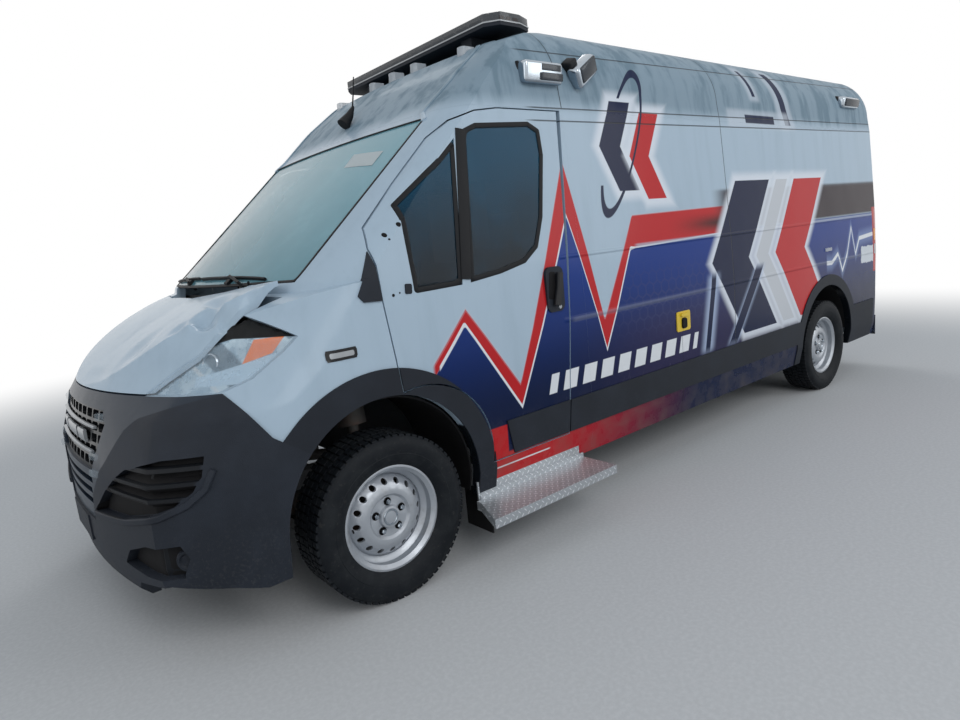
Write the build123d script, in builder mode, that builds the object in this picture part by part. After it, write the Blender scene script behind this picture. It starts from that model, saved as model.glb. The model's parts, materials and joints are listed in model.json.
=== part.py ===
from build123d import *
import math
import os

# A full-size front-drive panel van built as an ambulance, in millimetres.
# +X is forward, +Y is the driver's side, +Z is up; the origin lies under the middle of
# the van. Heights are drawn over the body's datum; each saved piece is lowered so that
# the tyres stand on the ground.

# Overall sizes
length = 5998
body_width = 2050
wheelbase = 4035
front_overhang = 948
front_track = 1810
rear_track = 1790
roof_crown = 2525

# Heights of the body's main lines
sill_bottom = 330
floor_top = 560
floor_thickness = 40
rocker_top = 480
swage_low = 1045
belt_line = 1345
cowl_height = 1372
gutter_height = 2045

# Wheels
tyre_width = 225
tyre_side_ratio = 0.65
rim_diameter = 406.4
wheel_z = 392
stud_circle = 130
stud_count = 5
brake_disc_radius = 150
brake_disc_thickness = 28

# Chassis rails: from inner to outer side, and from bottom to top
rail_y = (385, 455)
rail_z = (440, floor_top - floor_thickness)

# Walls, glass and clearances
wall = 45
glass_thickness = 5
glass_inset = 4
seat_gap = 0.3
panel_gap = 6
trim_lift = 7

# Number plate bracket: height of its holes, their pitch and radius
plate_z = 482
plate_hole_pitch = 177.8
plate_hole_radius = 3.5

# Wheel arches: radius of the opening, height of its centre, width of its trim
front_arch_radius = 450
front_arch_height = 455
front_trim_width = 110
rear_arch_radius = 440
rear_arch_height = 425
rear_trim_width = 80
liner_thickness = 8

# Steering, doors and bonnet
ball_joint_inset = 75
ball_joint_height = wheel_z - 152
strut_top_inset = 215
strut_top_height = ball_joint_height + 790
steer_range = 35
door_hinge_x = 1992
door_hinge_out = 6
rear_door_hinge_out = 14

front_x = length / 2
rear_x = -length / 2
front_axle_x = front_x - front_overhang
rear_axle_x = front_axle_x - wheelbase
half_width = body_width / 2
flank = half_width - trim_lift
tyre_radius = rim_diameter / 2 + tyre_width * tyre_side_ratio
ground_z = wheel_z - tyre_radius
front_wheel_y = front_track / 2
rear_wheel_y = rear_track / 2
ball_joint_y = front_wheel_y - ball_joint_inset
strut_top_y = front_wheel_y - strut_top_inset

rear_bumper_depth = 45
rear_door_face = rear_x + rear_bumper_depth
rear_corner_radius = 85

os.makedirs("parts", exist_ok=True)


def save(solid, name):
    """Stand a finished piece on the ground, label it and write it as a STEP file."""
    placed = solid.moved(Location((0, 0, -ground_z)))
    placed.label = name
    export_step(placed, f"parts/{name}.step")


def mirrored(solid):
    """The same piece on the other side of the van."""
    return mirror(solid, about=Plane.XZ)


def box(x, y, z):
    """A block between two corners, each given as a (low, high) pair."""
    with BuildPart() as block:
        with BuildSketch(Plane.XY.offset(z[0])):
            with Locations(((x[0] + x[1]) / 2, (y[0] + y[1]) / 2)):
                Rectangle(x[1] - x[0], y[1] - y[0])
        extrude(amount=z[1] - z[0])
    return block.part


def side_prism(outline, y):
    """A straight-edged outline of (x, z) points, extruded between two values of y."""
    with BuildPart() as prism:
        with BuildSketch(Plane.XZ.offset(-y[0])):
            with BuildLine():
                Polyline(*outline, close=True)
            make_face()
        extrude(amount=-(y[1] - y[0]))
    return prism.part


def rounded_prism(outline, y, radius):
    """As side_prism, with the outline's corners rounded."""
    with BuildPart() as prism:
        with BuildSketch(Plane.XZ.offset(-y[0])) as face:
            with BuildLine():
                Polyline(*outline, close=True)
            make_face()
            fillet(face.vertices(), radius)
        extrude(amount=-(y[1] - y[0]))
    return prism.part


def disc_y(x, z, radius, y):
    """A round bar along Y."""
    with BuildPart() as disc:
        with BuildSketch(Plane.XZ.offset(-y[0])):
            with Locations((x, z)):
                Circle(radius)
        extrude(amount=-(y[1] - y[0]))
    return disc.part


def arch_prism(axle_x, height, radius, y):
    """A wheel arch: a half round over straight legs that reach below the body."""
    with BuildPart() as prism:
        with BuildSketch(Plane.XZ.offset(-y[0])):
            with Locations((axle_x, height)):
                Circle(radius)
            with Locations((axle_x, height / 2)):
                Rectangle(2 * radius, height)
        extrude(amount=-(y[1] - y[0]))
    return prism.part


def front_prism(outline, x):
    """An outline of (y, z) points, extruded between two values of x."""
    with BuildPart() as prism:
        with BuildSketch(Plane.YZ.offset(x[0])):
            with BuildLine():
                Polyline(*outline, close=True)
            make_face()
        extrude(amount=x[1] - x[0])
    return prism.part


def plan_prism(outline, z):
    """A straight-edged outline of (x, y) points, extruded between two heights."""
    with BuildPart() as prism:
        with BuildSketch(Plane.XY.offset(z[0])):
            with BuildLine():
                Polyline(*outline, close=True)
            make_face()
        extrude(amount=z[1] - z[0])
    return prism.part


def tube_along(points, radius, bore=0):
    """A round tube along straight runs, rounded at each bend."""
    with BuildPart() as tube:
        with BuildLine() as path:
            FilletPolyline(*points, radius=2.2 * radius)
        with BuildSketch(Plane(origin=path.wires()[0] @ 0, z_dir=path.wires()[0] % 0)):
            Circle(radius)
            if bore:
                Circle(bore, mode=Mode.SUBTRACT)
        sweep()
    return tube.part


# Body form
# Plan outlines, one row a level: height, x of the nose on the centre line, x and y of the
# front corner, and the x where the corner's arc leaves the straight side.
cab_levels = [
    (200, 2370, 2320, 930, 2080),
    (swage_low, 2370, 2320, 930, 2060),
    (cowl_height, 2370, 2245, 800, 1850),
    (2030, 1560, 1515, 800, 1180),
    (2225, 1345, 1300, 780, 950),
    (2370, 1160, 1110, 750, 720),
    (2440, 950, 895, 715, 460),
    (2485, 700, 645, 660, 180),
    (2512, 380, 320, 600, -200),
    (2545, -200, -260, 500, -700),
]
nose_levels = [
    (250, 2925, 2820, 750, 2250),
    (310, 2970, 2870, 790, 2300),
    (430, 2990, 2890, 800, 2300),
    (760, 2988, 2880, 790, 2300),
    (960, 2945, 2810, 750, 2250),
    (1090, 2880, 2640, 770, 2050),
    (1395, 2760, 2300, 790, 1850),
]
# Half the cross-section: half width at each height, up to the roof's shoulder.
section_rows = [
    (960, sill_bottom - 100),
    (985, sill_bottom),
    (flank - 8, 450),
    (flank, 660),
    (flank, swage_low),
    (flank - 14, belt_line),
    (flank - 70, gutter_height),
    (flank - 88, 2160),
]
shoulder_mid = (flank - 150, 2345)
shoulder_end = (flank - 290, 2470)
# Bonnet line at the middle and at the sides: nose lip, middle of the bonnet, cowl end.
bonnet_lip = (2905, 1040)
bonnet_middle = (2620, 1232)
bonnet_end = (1950, 1440)
bonnet_side_drop = 70


def plan_outline(level, width, inset):
    """One level's plan outline, shrunk by the inset."""
    height, nose_x, corner_x, corner_y, straight_x = level
    nose = (nose_x - inset, 0)
    corner_end = (corner_x - 0.8 * inset, corner_y - 0.6 * inset)
    rear = rear_door_face + inset
    side_y = width - inset
    bend_end = (rear_door_face + rear_corner_radius, side_y)
    with BuildSketch(Plane.XY.offset(height)) as outline:
        with BuildLine():
            back = Line((rear, 0), (rear, width - rear_corner_radius))
            TangentArc(back @ 1, bend_end, tangent=(0, 1))
            side = Line(bend_end, (straight_x, side_y))
            TangentArc(side @ 1, corner_end, tangent=(1, 0))
            mirror(about=Plane.XZ)
            ThreePointArc(corner_end, nose, (corner_end[0], -corner_end[1]))
        make_face()
    return outline.sketch


def stacked_form(levels, inset):
    """A ruled form through plan outlines stacked in height."""
    with BuildPart() as form:
        add([plan_outline(row, flank + 20, inset) for row in levels])
        loft(ruled=True)
    return form.part


def section_form(inset):
    """The cross-section, extruded along the whole van."""
    with BuildPart() as form:
        with BuildSketch(Plane.YZ.offset(rear_x)) as section:
            with BuildLine():
                side_line = Polyline(*section_rows)
                ThreePointArc(side_line @ 1, shoulder_mid, shoulder_end)
                mirror(about=Plane.YZ)
                ThreePointArc(shoulder_end, (0, roof_crown), (-shoulder_end[0], shoulder_end[1]))
                Line(section_rows[0], (-section_rows[0][0], section_rows[0][1]))
            make_face()
            if inset:
                offset(amount=-inset, kind=Kind.INTERSECTION, mode=Mode.REPLACE)
        extrude(amount=length)
    return form.part


def bonnet_form(inset, lift=0):
    """What lies under the bonnet line, crowned across the van; lift springs its left side."""
    def profile(y, drop, lift):
        with BuildSketch(Plane.XZ.offset(-y)) as face:
            with BuildLine():
                lip = (bonnet_lip[0], bonnet_lip[1] - drop - inset)
                middle = (bonnet_middle[0], bonnet_middle[1] - drop - inset + lift)
                end = (bonnet_end[0], bonnet_end[1] - drop - inset + 0.1 * lift)
                ThreePointArc(end, middle, lip)
                Line(lip, (front_x + 60, lip[1] - 75))
                Line((front_x + 60, lip[1] - 75), (front_x + 60, 100))
                Line((front_x + 60, 100), (bonnet_end[0], 100))
                Line((bonnet_end[0], 100), end)
            make_face()
        return face.sketch
    with BuildPart() as form:
        add([
            profile(-flank - 30, bonnet_side_drop, 0),
            profile(0, 0, 0),
            profile(flank + 30, bonnet_side_drop, lift),
        ])
        loft()
    return form.part


def nose_form(inset, lift=0):
    """The form ahead of the windscreen, shrunk by the inset."""
    with BuildPart() as nose:
        add(stacked_form(nose_levels, inset))
        add(bonnet_form(inset, lift), mode=Mode.INTERSECT)
    return nose.part


def body_form(inset):
    """The whole outside of the body, without bumpers, shrunk by the inset."""
    with BuildPart() as form:
        add(stacked_form(cab_levels, inset))
        add(nose_form(inset))
        add(section_form(inset), mode=Mode.INTERSECT)
    return form.part


outside = body_form(0)
inside = body_form(wall)
with BuildPart() as body_shell:
    add(outside)
    add(inside, mode=Mode.SUBTRACT)
with BuildPart() as glass_shell:
    add(body_form(glass_inset))
    add(body_form(glass_inset + glass_thickness), mode=Mode.SUBTRACT)
with BuildPart() as trim_shell:
    add(body_form(-trim_lift))
    add(outside, mode=Mode.SUBTRACT)
shell = body_shell.part
glass = glass_shell.part
trim = trim_shell.part
lining = body_form(wall + 8)


# Openings and joints between panels
# The left door's outline from the rear bottom corner up and forward to the arch.
door_outline = [
    (1010, rocker_top),
    (850, gutter_height - 8),
    (1250, gutter_height - 10),
    (1385, 2018),
    (1500, 1980),
    (1600, 1912),
    (1795, 1730),
    (1968, 1560),
    (1992, 1480),
    (1985, 1275),
    (1950, 905),
]
door_arch_middle = (1640, 830)
door_arch_end = (1512, rocker_top)
window_outline = [
    (1835, 1285),
    (1850, 1640),
    (1612, 1822),
    (1480, 1935),
    (1392, 1968),
    (1068, 1984),
    (1000, 1950),
    (996, 1834),
    (1054, 1548),
    (1112, 1410),
    (1204, 1347),
    (1361, 1315),
    (1568, 1292),
]
window_corner = 16
divider_outline = [(1455, 2060), (1500, 2060), (1592, 1240), (1547, 1240)]
side_far = half_width + 60


def door_prism(grow, y):
    """The front door's outline, grown all round, extruded across the side wall."""
    with BuildPart() as prism:
        with BuildSketch(Plane.XZ.offset(-y[0])):
            with BuildLine():
                edge = Polyline(*door_outline)
                bottom = ThreePointArc(edge @ 1, door_arch_middle, door_arch_end)
                Line(bottom @ 1, door_outline[0])
            make_face()
            if grow:
                offset(amount=grow, kind=Kind.INTERSECTION, mode=Mode.REPLACE)
        extrude(amount=-(y[1] - y[0]))
    return prism.part


def window_prism(shrink, y):
    """The door window's two panes, shrunk all round, extruded across the door."""
    with BuildPart() as prism:
        with BuildSketch(Plane.XZ.offset(-y[0])) as face:
            with BuildLine():
                Polyline(*window_outline, close=True)
            make_face()
            fillet(face.vertices(), window_corner)
            if shrink:
                offset(amount=-shrink, mode=Mode.REPLACE)
        extrude(amount=-(y[1] - y[0]))
        with BuildSketch(Plane.XZ.offset(-y[0])):
            with BuildLine():
                Polyline(*divider_outline, close=True)
            make_face()
            if shrink:
                offset(amount=shrink, kind=Kind.INTERSECTION, mode=Mode.REPLACE)
        extrude(amount=-(y[1] - y[0]), mode=Mode.SUBTRACT)
    return prism.part


pillar_x = 828
fender_rear = [(1952, 200), (1952, 903), (1989, 1278), (2075, 1285), (2262, 1440)]
# Seam between fender and bumper, from the wheel arch up to the headlamp's lower line
nose_joint = [(2330, 735), (2500, 862), (2605, 1030)]
bumper_top = nose_joint[2][1]
headlamp_rear = [(2470, 1300), (2325, 1192), (2380, 1146), (2500, 1066)]
header_bottom = 2012
screen_half = 792
screen_bottom = cowl_height + 8
bonnet_plan = [
    (2398, 0),
    (2380, 400),
    (2300, 778),
    (2612, 712),
    (2800, 590),
    (2868, 430),
    (3100, 400),
    (3100, 0),
]
rear_opening = [
    (0, 500),
    (925, 500),
    (925, belt_line),
    (868, gutter_height),
    (835, 2200),
    (770, 2285),
    (0, 2300),
]
half_joint = seat_gap / 2
sliding_window_low = (-420, 1300)
sliding_window_high = (640, 1850)
sliding_window_corner = 60
forward_far = front_x + 100

side_range = (600, side_far)
half_range = (0, side_far)
full_range = (-side_far, side_far)


def both(solid):
    """A left-hand piece with its mirror image."""
    with BuildPart() as pair:
        add(solid)
        mirror(about=Plane.XZ)
    return pair.part


def rear_opening_prism(grow, low_y):
    """The rear doorway's left half, grown all round, through the rear wall."""
    with BuildPart() as prism:
        with BuildSketch(Plane.YZ.offset(rear_x - 50)):
            with BuildLine():
                Polyline(*rear_opening, close=True)
            make_face()
            if grow:
                offset(amount=grow, kind=Kind.INTERSECTION, mode=Mode.REPLACE)
        extrude(amount=50 + rear_bumper_depth + wall + 40)
        with BuildSketch(Plane.YZ.offset(rear_x - 60)):
            with Locations((low_y - 1000, 1500)):
                Rectangle(2000, 4000)
        extrude(amount=400, mode=Mode.SUBTRACT)
    return prism.part


def bonnet_prism(grow):
    """The bonnet's plan outline, both halves, grown all round."""
    with BuildPart() as prism:
        with BuildSketch(Plane.XY.offset(bumper_top + panel_gap - grow)):
            with BuildLine():
                Polyline(*bonnet_plan)
                mirror(about=Plane.XZ)
            make_face()
            if grow:
                offset(amount=grow, kind=Kind.INTERSECTION, mode=Mode.REPLACE)
        extrude(amount=600)
    return prism.part


front_arch = arch_prism(front_axle_x, front_arch_height, front_arch_radius, (500, side_far))
rear_arch = arch_prism(rear_axle_x, rear_arch_height, rear_arch_radius, (600, side_far))
door_cut = door_prism(panel_gap, side_range)
bonnet_cut = bonnet_prism(panel_gap)
rear_cut = both(rear_opening_prism(panel_gap, 0))

bumper_region = side_prism(
    nose_joint + [(forward_far, bumper_top), (forward_far, 150), (nose_joint[0][0], 150)],
    full_range,
)
headlamp_region = side_prism(
    headlamp_rear + [(nose_joint[2][0], bumper_top + seat_gap), (forward_far, bumper_top + seat_gap),
                     (forward_far, headlamp_rear[0][1])],
    half_range,
)

# Nose outlines seen from the front, as (y, z) points of the left half. The bumper's skin
# stands proud below a crease that falls from the headlamp to the lower grille.
skin_outline = [(0, 200), (0, 520), (262, 520), (289, 629), (482, 798), (593, 922), (665, 968),
                (837, 1018), (878, bumper_top), (side_far, bumper_top), (side_far, 200)]
under_outline = [(480, 200), (600, 345), (820, 380), (940, 348), (990, 322), (side_far, 322),
                 (side_far, 200)]
scoop_outline = [(297, 570), (470, 690), (640, 790), (812, 834), (912, 837), (918, 768),
                 (900, 719), (858, 674), (780, 640), (560, 590)]
scoop_fins = [(690, 704), (742, 756), (794, 808)]
scoop_depth = 30
fog_outline = [(540, 415), (600, 480), (731, 522), (860, 532), (878, 484), (860, 412), (700, 398)]
grille_outline = [(0, 738), (328, 738), (425, 925), (392, 972), (0, 978)]
slot_rows = [(694, 300), (646, 272), (598, 258)]
slot_height = 24
nose_range = (2600, forward_far)

tail_lamp_region = box((rear_x, rear_x + 130), (rear_opening[1][0] + 24, side_far), (880, 1420))
tail_lamp_cut = box((rear_x, rear_x + 130 + seat_gap), (rear_opening[1][0] + 24 - seat_gap, side_far),
                    (880 - seat_gap, 1420 + seat_gap))


# Side panels behind the cab, from the sill to the gutter
with BuildPart() as side_panel_left:
    add(shell)
    add(box((rear_x, pillar_x - half_joint), half_range, (sill_bottom, gutter_height - half_joint)),
        mode=Mode.INTERSECT)
    add(rear_cut, mode=Mode.SUBTRACT)
    add(tail_lamp_cut, mode=Mode.SUBTRACT)
    add(rear_arch, mode=Mode.SUBTRACT)
    add(box((rear_x, rear_door_face + wall + 50), (0, rear_opening[1][0]), (0, rear_opening[1][1] + 20)),
        mode=Mode.SUBTRACT)


def sliding_window_prism(shrink):
    """The side window's rounded outline, shrunk all round."""
    low, high = sliding_window_low, sliding_window_high
    return rounded_prism(
        [(low[0] + shrink, low[1] + shrink), (low[0] + shrink, high[1] - shrink),
         (high[0] - shrink, high[1] - shrink), (high[0] - shrink, low[1] + shrink)],
        side_range,
        sliding_window_corner - shrink,
    )


sliding_door_region = side_prism(
    [(-560, rocker_top), (-560, gutter_height - 8), (780, gutter_height - 8), (780, rocker_top)], side_range)
sliding_door_cut = side_prism(
    [(-566, rocker_top - 6), (-566, gutter_height - 2), (786, gutter_height - 2), (786, rocker_top - 6)],
    side_range)
with BuildPart() as side_panel_right:
    add(mirrored(side_panel_left.part))
    add(mirrored(sliding_door_cut), mode=Mode.SUBTRACT)
with BuildPart() as sliding_door_left:
    add(shell)
    add(sliding_door_region, mode=Mode.INTERSECT)
    add(sliding_window_prism(0), mode=Mode.SUBTRACT)
with BuildPart() as sliding_glass_left:
    add(glass)
    add(sliding_window_prism(seat_gap), mode=Mode.INTERSECT)
with BuildPart() as sliding_door:
    add(mirrored(sliding_door_left.part))
with BuildPart() as sliding_door_glass:
    add(mirrored(sliding_glass_left.part))

# Roof with its front slope
with BuildPart() as roof_panel:
    add(shell)
    add(box((rear_x, front_x), full_range, (gutter_height + half_joint, 2700)),
        mode=Mode.INTERSECT)
    add(rear_cut, mode=Mode.SUBTRACT)

# Cab frame: rear door pillars, sills, windscreen pillars and header
cab_region = side_prism(
    [(pillar_x + half_joint, 200), (pillar_x + half_joint, gutter_height - half_joint),
     (2600, gutter_height - half_joint), (2600, 1440)] + fender_rear[::-1],
    full_range,
)
screen_opening = box((1300, 2600), (-screen_half, screen_half), (screen_bottom, header_bottom))
with BuildPart() as cab_frame:
    add(shell)
    add(cab_region, mode=Mode.INTERSECT)
    add(box((0, front_x), full_range, (0, sill_bottom)), mode=Mode.SUBTRACT)
    add(both(door_cut), mode=Mode.SUBTRACT)
    add(both(front_arch), mode=Mode.SUBTRACT)
    add(screen_opening, mode=Mode.SUBTRACT)
    add(bonnet_cut, mode=Mode.SUBTRACT)
with BuildPart() as windscreen:
    add(glass)
    add(box((1300, 2600), (-screen_half + seat_gap, screen_half - seat_gap),
            (screen_bottom + seat_gap, header_bottom - seat_gap)), mode=Mode.INTERSECT)

# Front doors with their windows
door_rear_strip = side_prism([(700, 0), (700, 2200), (850 + panel_gap, 2200), (1010 + panel_gap, 300),
                              (1010 + panel_gap, 0)], side_range)
with BuildPart() as door_left:
    add(shell)
    add(door_prism(0, side_range), mode=Mode.INTERSECT)
    add(door_rear_strip, mode=Mode.SUBTRACT)
    add(window_prism(0, side_range), mode=Mode.SUBTRACT)
with BuildPart() as door_left_glass:
    add(glass)
    add(window_prism(seat_gap, side_range), mode=Mode.INTERSECT)

# Nose panels. The bonnet's left half has sprung up off its headlamp.
bonnet_lift = 112
bonnet_skin = 20
with BuildPart() as sprung_shell:
    add(nose_form(0, bonnet_lift))
    add(nose_form(bonnet_skin, bonnet_lift), mode=Mode.SUBTRACT)
    add(box((0, forward_far), half_range, (0, 3000)), mode=Mode.INTERSECT)
with BuildPart() as bonnet:
    add(shell)
    add(box((0, forward_far), half_range, (0, 3000)), mode=Mode.SUBTRACT)
    add(sprung_shell.part)
    add(bonnet_prism(0), mode=Mode.INTERSECT)
with BuildPart() as headlamp_left:
    add(outside)
    add(headlamp_region, mode=Mode.INTERSECT)
    add(bonnet_cut, mode=Mode.SUBTRACT)
    add(box((2200, 2600), (0, 690), (1000, 1400)), mode=Mode.SUBTRACT)
    add(box((2200, 3100), (0, 430), (1000, 1400)), mode=Mode.SUBTRACT)
with BuildPart() as fender_left:
    add(shell)
    add(box((1700, front_x), (500, side_far), (300, 1500)), mode=Mode.INTERSECT)
    add(cab_region, mode=Mode.SUBTRACT)
    add(door_cut, mode=Mode.SUBTRACT)
    add(front_arch, mode=Mode.SUBTRACT)
    add(bumper_region, mode=Mode.SUBTRACT)
    add(headlamp_region, mode=Mode.SUBTRACT)
    add(bonnet_cut, mode=Mode.SUBTRACT)
    add(screen_opening, mode=Mode.SUBTRACT)


def front_pair(outline, x):
    """A front outline with its mirror image, extruded between two values of x."""
    return both(front_prism(outline, x))


with BuildPart() as skin_area:
    add(front_pair(skin_outline, (nose_joint[0][0] - 1, forward_far)))
    add(bumper_region, mode=Mode.INTERSECT)
with BuildPart() as recesses:
    add(front_prism(scoop_outline, nose_range))
    for fin in scoop_fins:
        add(box(nose_range, full_range, fin), mode=Mode.SUBTRACT)
    add(front_prism(fog_outline, nose_range))
    add(nose_form(scoop_depth), mode=Mode.SUBTRACT)
with BuildPart() as front_bumper:
    add(shell)
    add(trim)
    add(skin_area.part, mode=Mode.INTERSECT)
    add(both(front_arch), mode=Mode.SUBTRACT)
    add(both(recesses.part), mode=Mode.SUBTRACT)
    add(front_pair(under_outline, (nose_joint[0][0], forward_far)), mode=Mode.SUBTRACT)
    add(box((nose_joint[0][0] - 1, 2850), (-640, 640), (200, 300)), mode=Mode.SUBTRACT)
    add(box((2950, front_x), (-160, 160), (plate_z - 75, plate_z + 35)))
    for y in (-plate_hole_pitch / 2, plate_hole_pitch / 2):
        with BuildSketch(Plane.YZ.offset(front_x)):
            with Locations((y, plate_z)):
                Circle(plate_hole_radius)
        extrude(amount=-25, mode=Mode.SUBTRACT)
with BuildPart() as nose_panel:
    add(shell)
    add(bumper_region, mode=Mode.INTERSECT)
    add(skin_area.part, mode=Mode.SUBTRACT)
    add(front_pair([(y, z + (seat_gap if z < bumper_top else 0)) for y, z in skin_outline],
                   (nose_joint[0][0] - 1, forward_far)), mode=Mode.SUBTRACT)
    add(front_pair(grille_outline, nose_range), mode=Mode.SUBTRACT)
    for z, reach in slot_rows:
        add(box(nose_range, (-reach, reach), (z - slot_height / 2, z + slot_height / 2)),
            mode=Mode.SUBTRACT)

# Rear doors with their windows, and their hinges
rear_window_y = 470
rear_window_z = 1600
rear_window_size = (560, 520)
hinge_pin = 8
rear_hinge_x = rear_door_face - rear_door_hinge_out
rear_hinge_y = rear_opening[1][0] + 15
rear_hinge_heights = [620, 1480]

with BuildPart() as rear_door_left:
    add(shell)
    add(rear_opening_prism(0, panel_gap / 2), mode=Mode.INTERSECT)
    with BuildSketch(Plane.YZ.offset(rear_x - 50)):
        with Locations((rear_window_y, rear_window_z)):
            RectangleRounded(*rear_window_size, 50)
    extrude(amount=400, mode=Mode.SUBTRACT)
    for z in rear_hinge_heights:
        leaf_z = (z + 24, z + 56)
        leaf_end = rear_hinge_y - hinge_pin - seat_gap
        add(box((rear_hinge_x - 6, rear_door_face - seat_gap), (865, leaf_end), leaf_z))
        add(box((rear_hinge_x - 6, rear_door_face + 1), (865, 900), leaf_z))
with BuildPart() as rear_glass_left:
    with BuildSketch(Plane.YZ.offset(rear_door_face + glass_inset)):
        with Locations((rear_window_y, rear_window_z)):
            RectangleRounded(rear_window_size[0] - 2 * seat_gap, rear_window_size[1] - 2 * seat_gap,
                             50 - seat_gap)
    extrude(amount=glass_thickness)
with BuildPart() as rear_hinges:
    for z in rear_hinge_heights:
        with BuildSketch(Plane.XY.offset(z)):
            with Locations((rear_hinge_x, rear_hinge_y)):
                Circle(hinge_pin)
        extrude(amount=80)
        add(box((rear_hinge_x - 6, rear_door_face - seat_gap), (rear_hinge_y, rear_hinge_y + 30), (z, z + 20)))
        add(box((rear_hinge_x - 6, rear_door_face - seat_gap), (rear_hinge_y, rear_hinge_y + 30),
                (z + 60, z + 80)))


# Wheels: the rim's and tyre's half sections as (radius, y) pairs from the wheel's middle
barrel_rows = [
    (221, 82), (221, 75), (204, 68), (204, 38), (182, 22), (182, -30), (204, -46), (204, -70),
    (221, -76), (221, -82), (212, -82), (197, -70), (197, -46), (176, -27), (176, 20), (197, 36),
    (197, 68), (212, 82),
]
disc_rows = [
    (178, -2), (178, 8), (168, 22), (140, 50), (112, 60), (96, 58), (86, 48), (50, 48), (44, 62),
    (0, 64), (0, 54), (38, 52), (44, 40), (88, 40), (98, 49), (112, 51), (134, 42), (160, 16),
    (168, -2),
]
tyre_rows_inner = [(204.4, 0), (204.4, 67), (221.5, 67), (221.5, 84), (243, 101)]
tyre_side_middle = (288, tyre_width / 2)
tyre_shoulder = (tyre_radius - 24, 106)
tyre_edge = (tyre_radius - 6, 92)
wheel_mount_y = 40
vent_count = 16
vent_circle = 148
vent_radius = 12.5
lug_pocket_radius = 17


def wheel_rim():
    """A steel wheel about the Y axis with its outer face towards +Y."""
    with BuildPart() as rim:
        with BuildSketch():
            with BuildLine():
                Polyline(*barrel_rows, close=True)
            make_face()
        revolve(axis=Axis.Y)
        with BuildSketch():
            with BuildLine():
                Polyline(*disc_rows, close=True)
            make_face()
        revolve(axis=Axis.Y)
        with BuildSketch(Plane.XZ.offset(-100)):
            with PolarLocations(vent_circle, vent_count):
                Circle(vent_radius)
        extrude(amount=110, mode=Mode.SUBTRACT)
        with BuildSketch(Plane.XZ.offset(-100)):
            with PolarLocations(stud_circle / 2, stud_count, start_angle=90):
                Circle(lug_pocket_radius)
        extrude(amount=100 - wheel_mount_y - 4, mode=Mode.SUBTRACT)
    return rim.part


def wheel_tyre():
    """A tyre about the Y axis, seated round the rim's barrel."""
    with BuildPart() as tyre:
        with BuildSketch():
            with BuildLine():
                bead = Polyline(*tyre_rows_inner)
                side = ThreePointArc(bead @ 1, tyre_side_middle, tyre_shoulder)
                edge = Line(side @ 1, tyre_edge)
                crown = Line(edge @ 1, (tyre_radius, tyre_edge[1] - 22))
                Line(crown @ 1, (tyre_radius, 0))
                mirror(about=Plane.XZ)
            make_face()
        revolve(axis=Axis.Y)
    return tyre.part


rim_shape = wheel_rim()
tyre_shape = wheel_tyre()
wheel_places = {
    "front_left": (front_axle_x, front_wheel_y, 1),
    "front_right": (front_axle_x, -front_wheel_y, -1),
    "rear_left": (rear_axle_x, rear_wheel_y, 1),
    "rear_right": (rear_axle_x, -rear_wheel_y, -1),
}
for place, (wheel_x, wheel_y, side) in wheel_places.items():
    for kind, shape in (("rim", rim_shape), ("tyre", tyre_shape)):
        with BuildPart() as wheel_piece:
            add(shape if side > 0 else mirrored(shape))
        save(wheel_piece.part.moved(Location((wheel_x, wheel_y, wheel_z))), f"{kind}_{place}")


# Front corners: hub carrier with disc and damper tube, turning about the strut's axis
strut_base = Vector(front_axle_x, ball_joint_y, ball_joint_height)
strut_top = Vector(front_axle_x, strut_top_y, strut_top_height)
strut_axis = (strut_top - strut_base).normalized()
damper_radius = 26
damper_length = 560
rod_radius = 11
spring_radius = 62
hub_face_y = front_wheel_y + wheel_mount_y


def strut_plane(distance):
    """A plane square to the strut's axis, at a distance up from the ball joint."""
    return Plane(origin=strut_base + strut_axis * distance, z_dir=strut_axis)


with BuildPart() as knuckle_left:
    with BuildSketch(strut_plane(14)):
        Circle(30)
    extrude(amount=60)
    with BuildSketch(strut_plane(70)):
        Circle(damper_radius)
    extrude(amount=damper_length - 70)
    disc_y_low = hub_face_y - 90
    add(disc_y(front_axle_x, wheel_z, 62, (ball_joint_y - 45, disc_y_low)))
    add(disc_y(front_axle_x, wheel_z, brake_disc_radius, (disc_y_low, disc_y_low + brake_disc_thickness)))
    add(disc_y(front_axle_x, wheel_z, 74, (disc_y_low, hub_face_y - seat_gap)))
    add(box((front_axle_x - 34, front_axle_x + 34), (ball_joint_y - 30, ball_joint_y + 20),
            (wheel_z - 112, wheel_z - 32)))
    add(box((front_axle_x - 160, front_axle_x - 96), (disc_y_low - 22, disc_y_low + 42),
            (wheel_z - 40, wheel_z + 50)))
with BuildPart() as front_struts_left:
    with BuildSketch(strut_plane(damper_length + seat_gap)):
        Circle(rod_radius)
    extrude(amount=225)
    with BuildSketch(strut_plane(damper_length - 40)):
        Circle(spring_radius)
        Circle(spring_radius - 14, mode=Mode.SUBTRACT)
    extrude(amount=240)
    with BuildSketch(strut_plane(damper_length + 200)):
        Circle(spring_radius + 12)
    extrude(amount=26)

subframe_z = (ball_joint_height - 15, ball_joint_height + 42)
with BuildPart() as front_subframe:
    add(box((front_axle_x - 230, front_axle_x + 180), (-420, 420), subframe_z))
    for x in (1860, 2160):
        add(both(box((x, x + 60), (385, 420), (subframe_z[1], rail_z[0] - seat_gap))))
    add(both(plan_prism([
        (front_axle_x - 200, 400), (front_axle_x - 30, ball_joint_y), (front_axle_x + 30, ball_joint_y),
        (front_axle_x + 120, 400)], (ball_joint_height - 12, ball_joint_height + 8))))
    for side in (1, -1):
        with BuildSketch(Plane.XY.offset(ball_joint_height - 12)):
            with Locations((front_axle_x, side * ball_joint_y)):
                Circle(18)
        extrude(amount=20)

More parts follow.
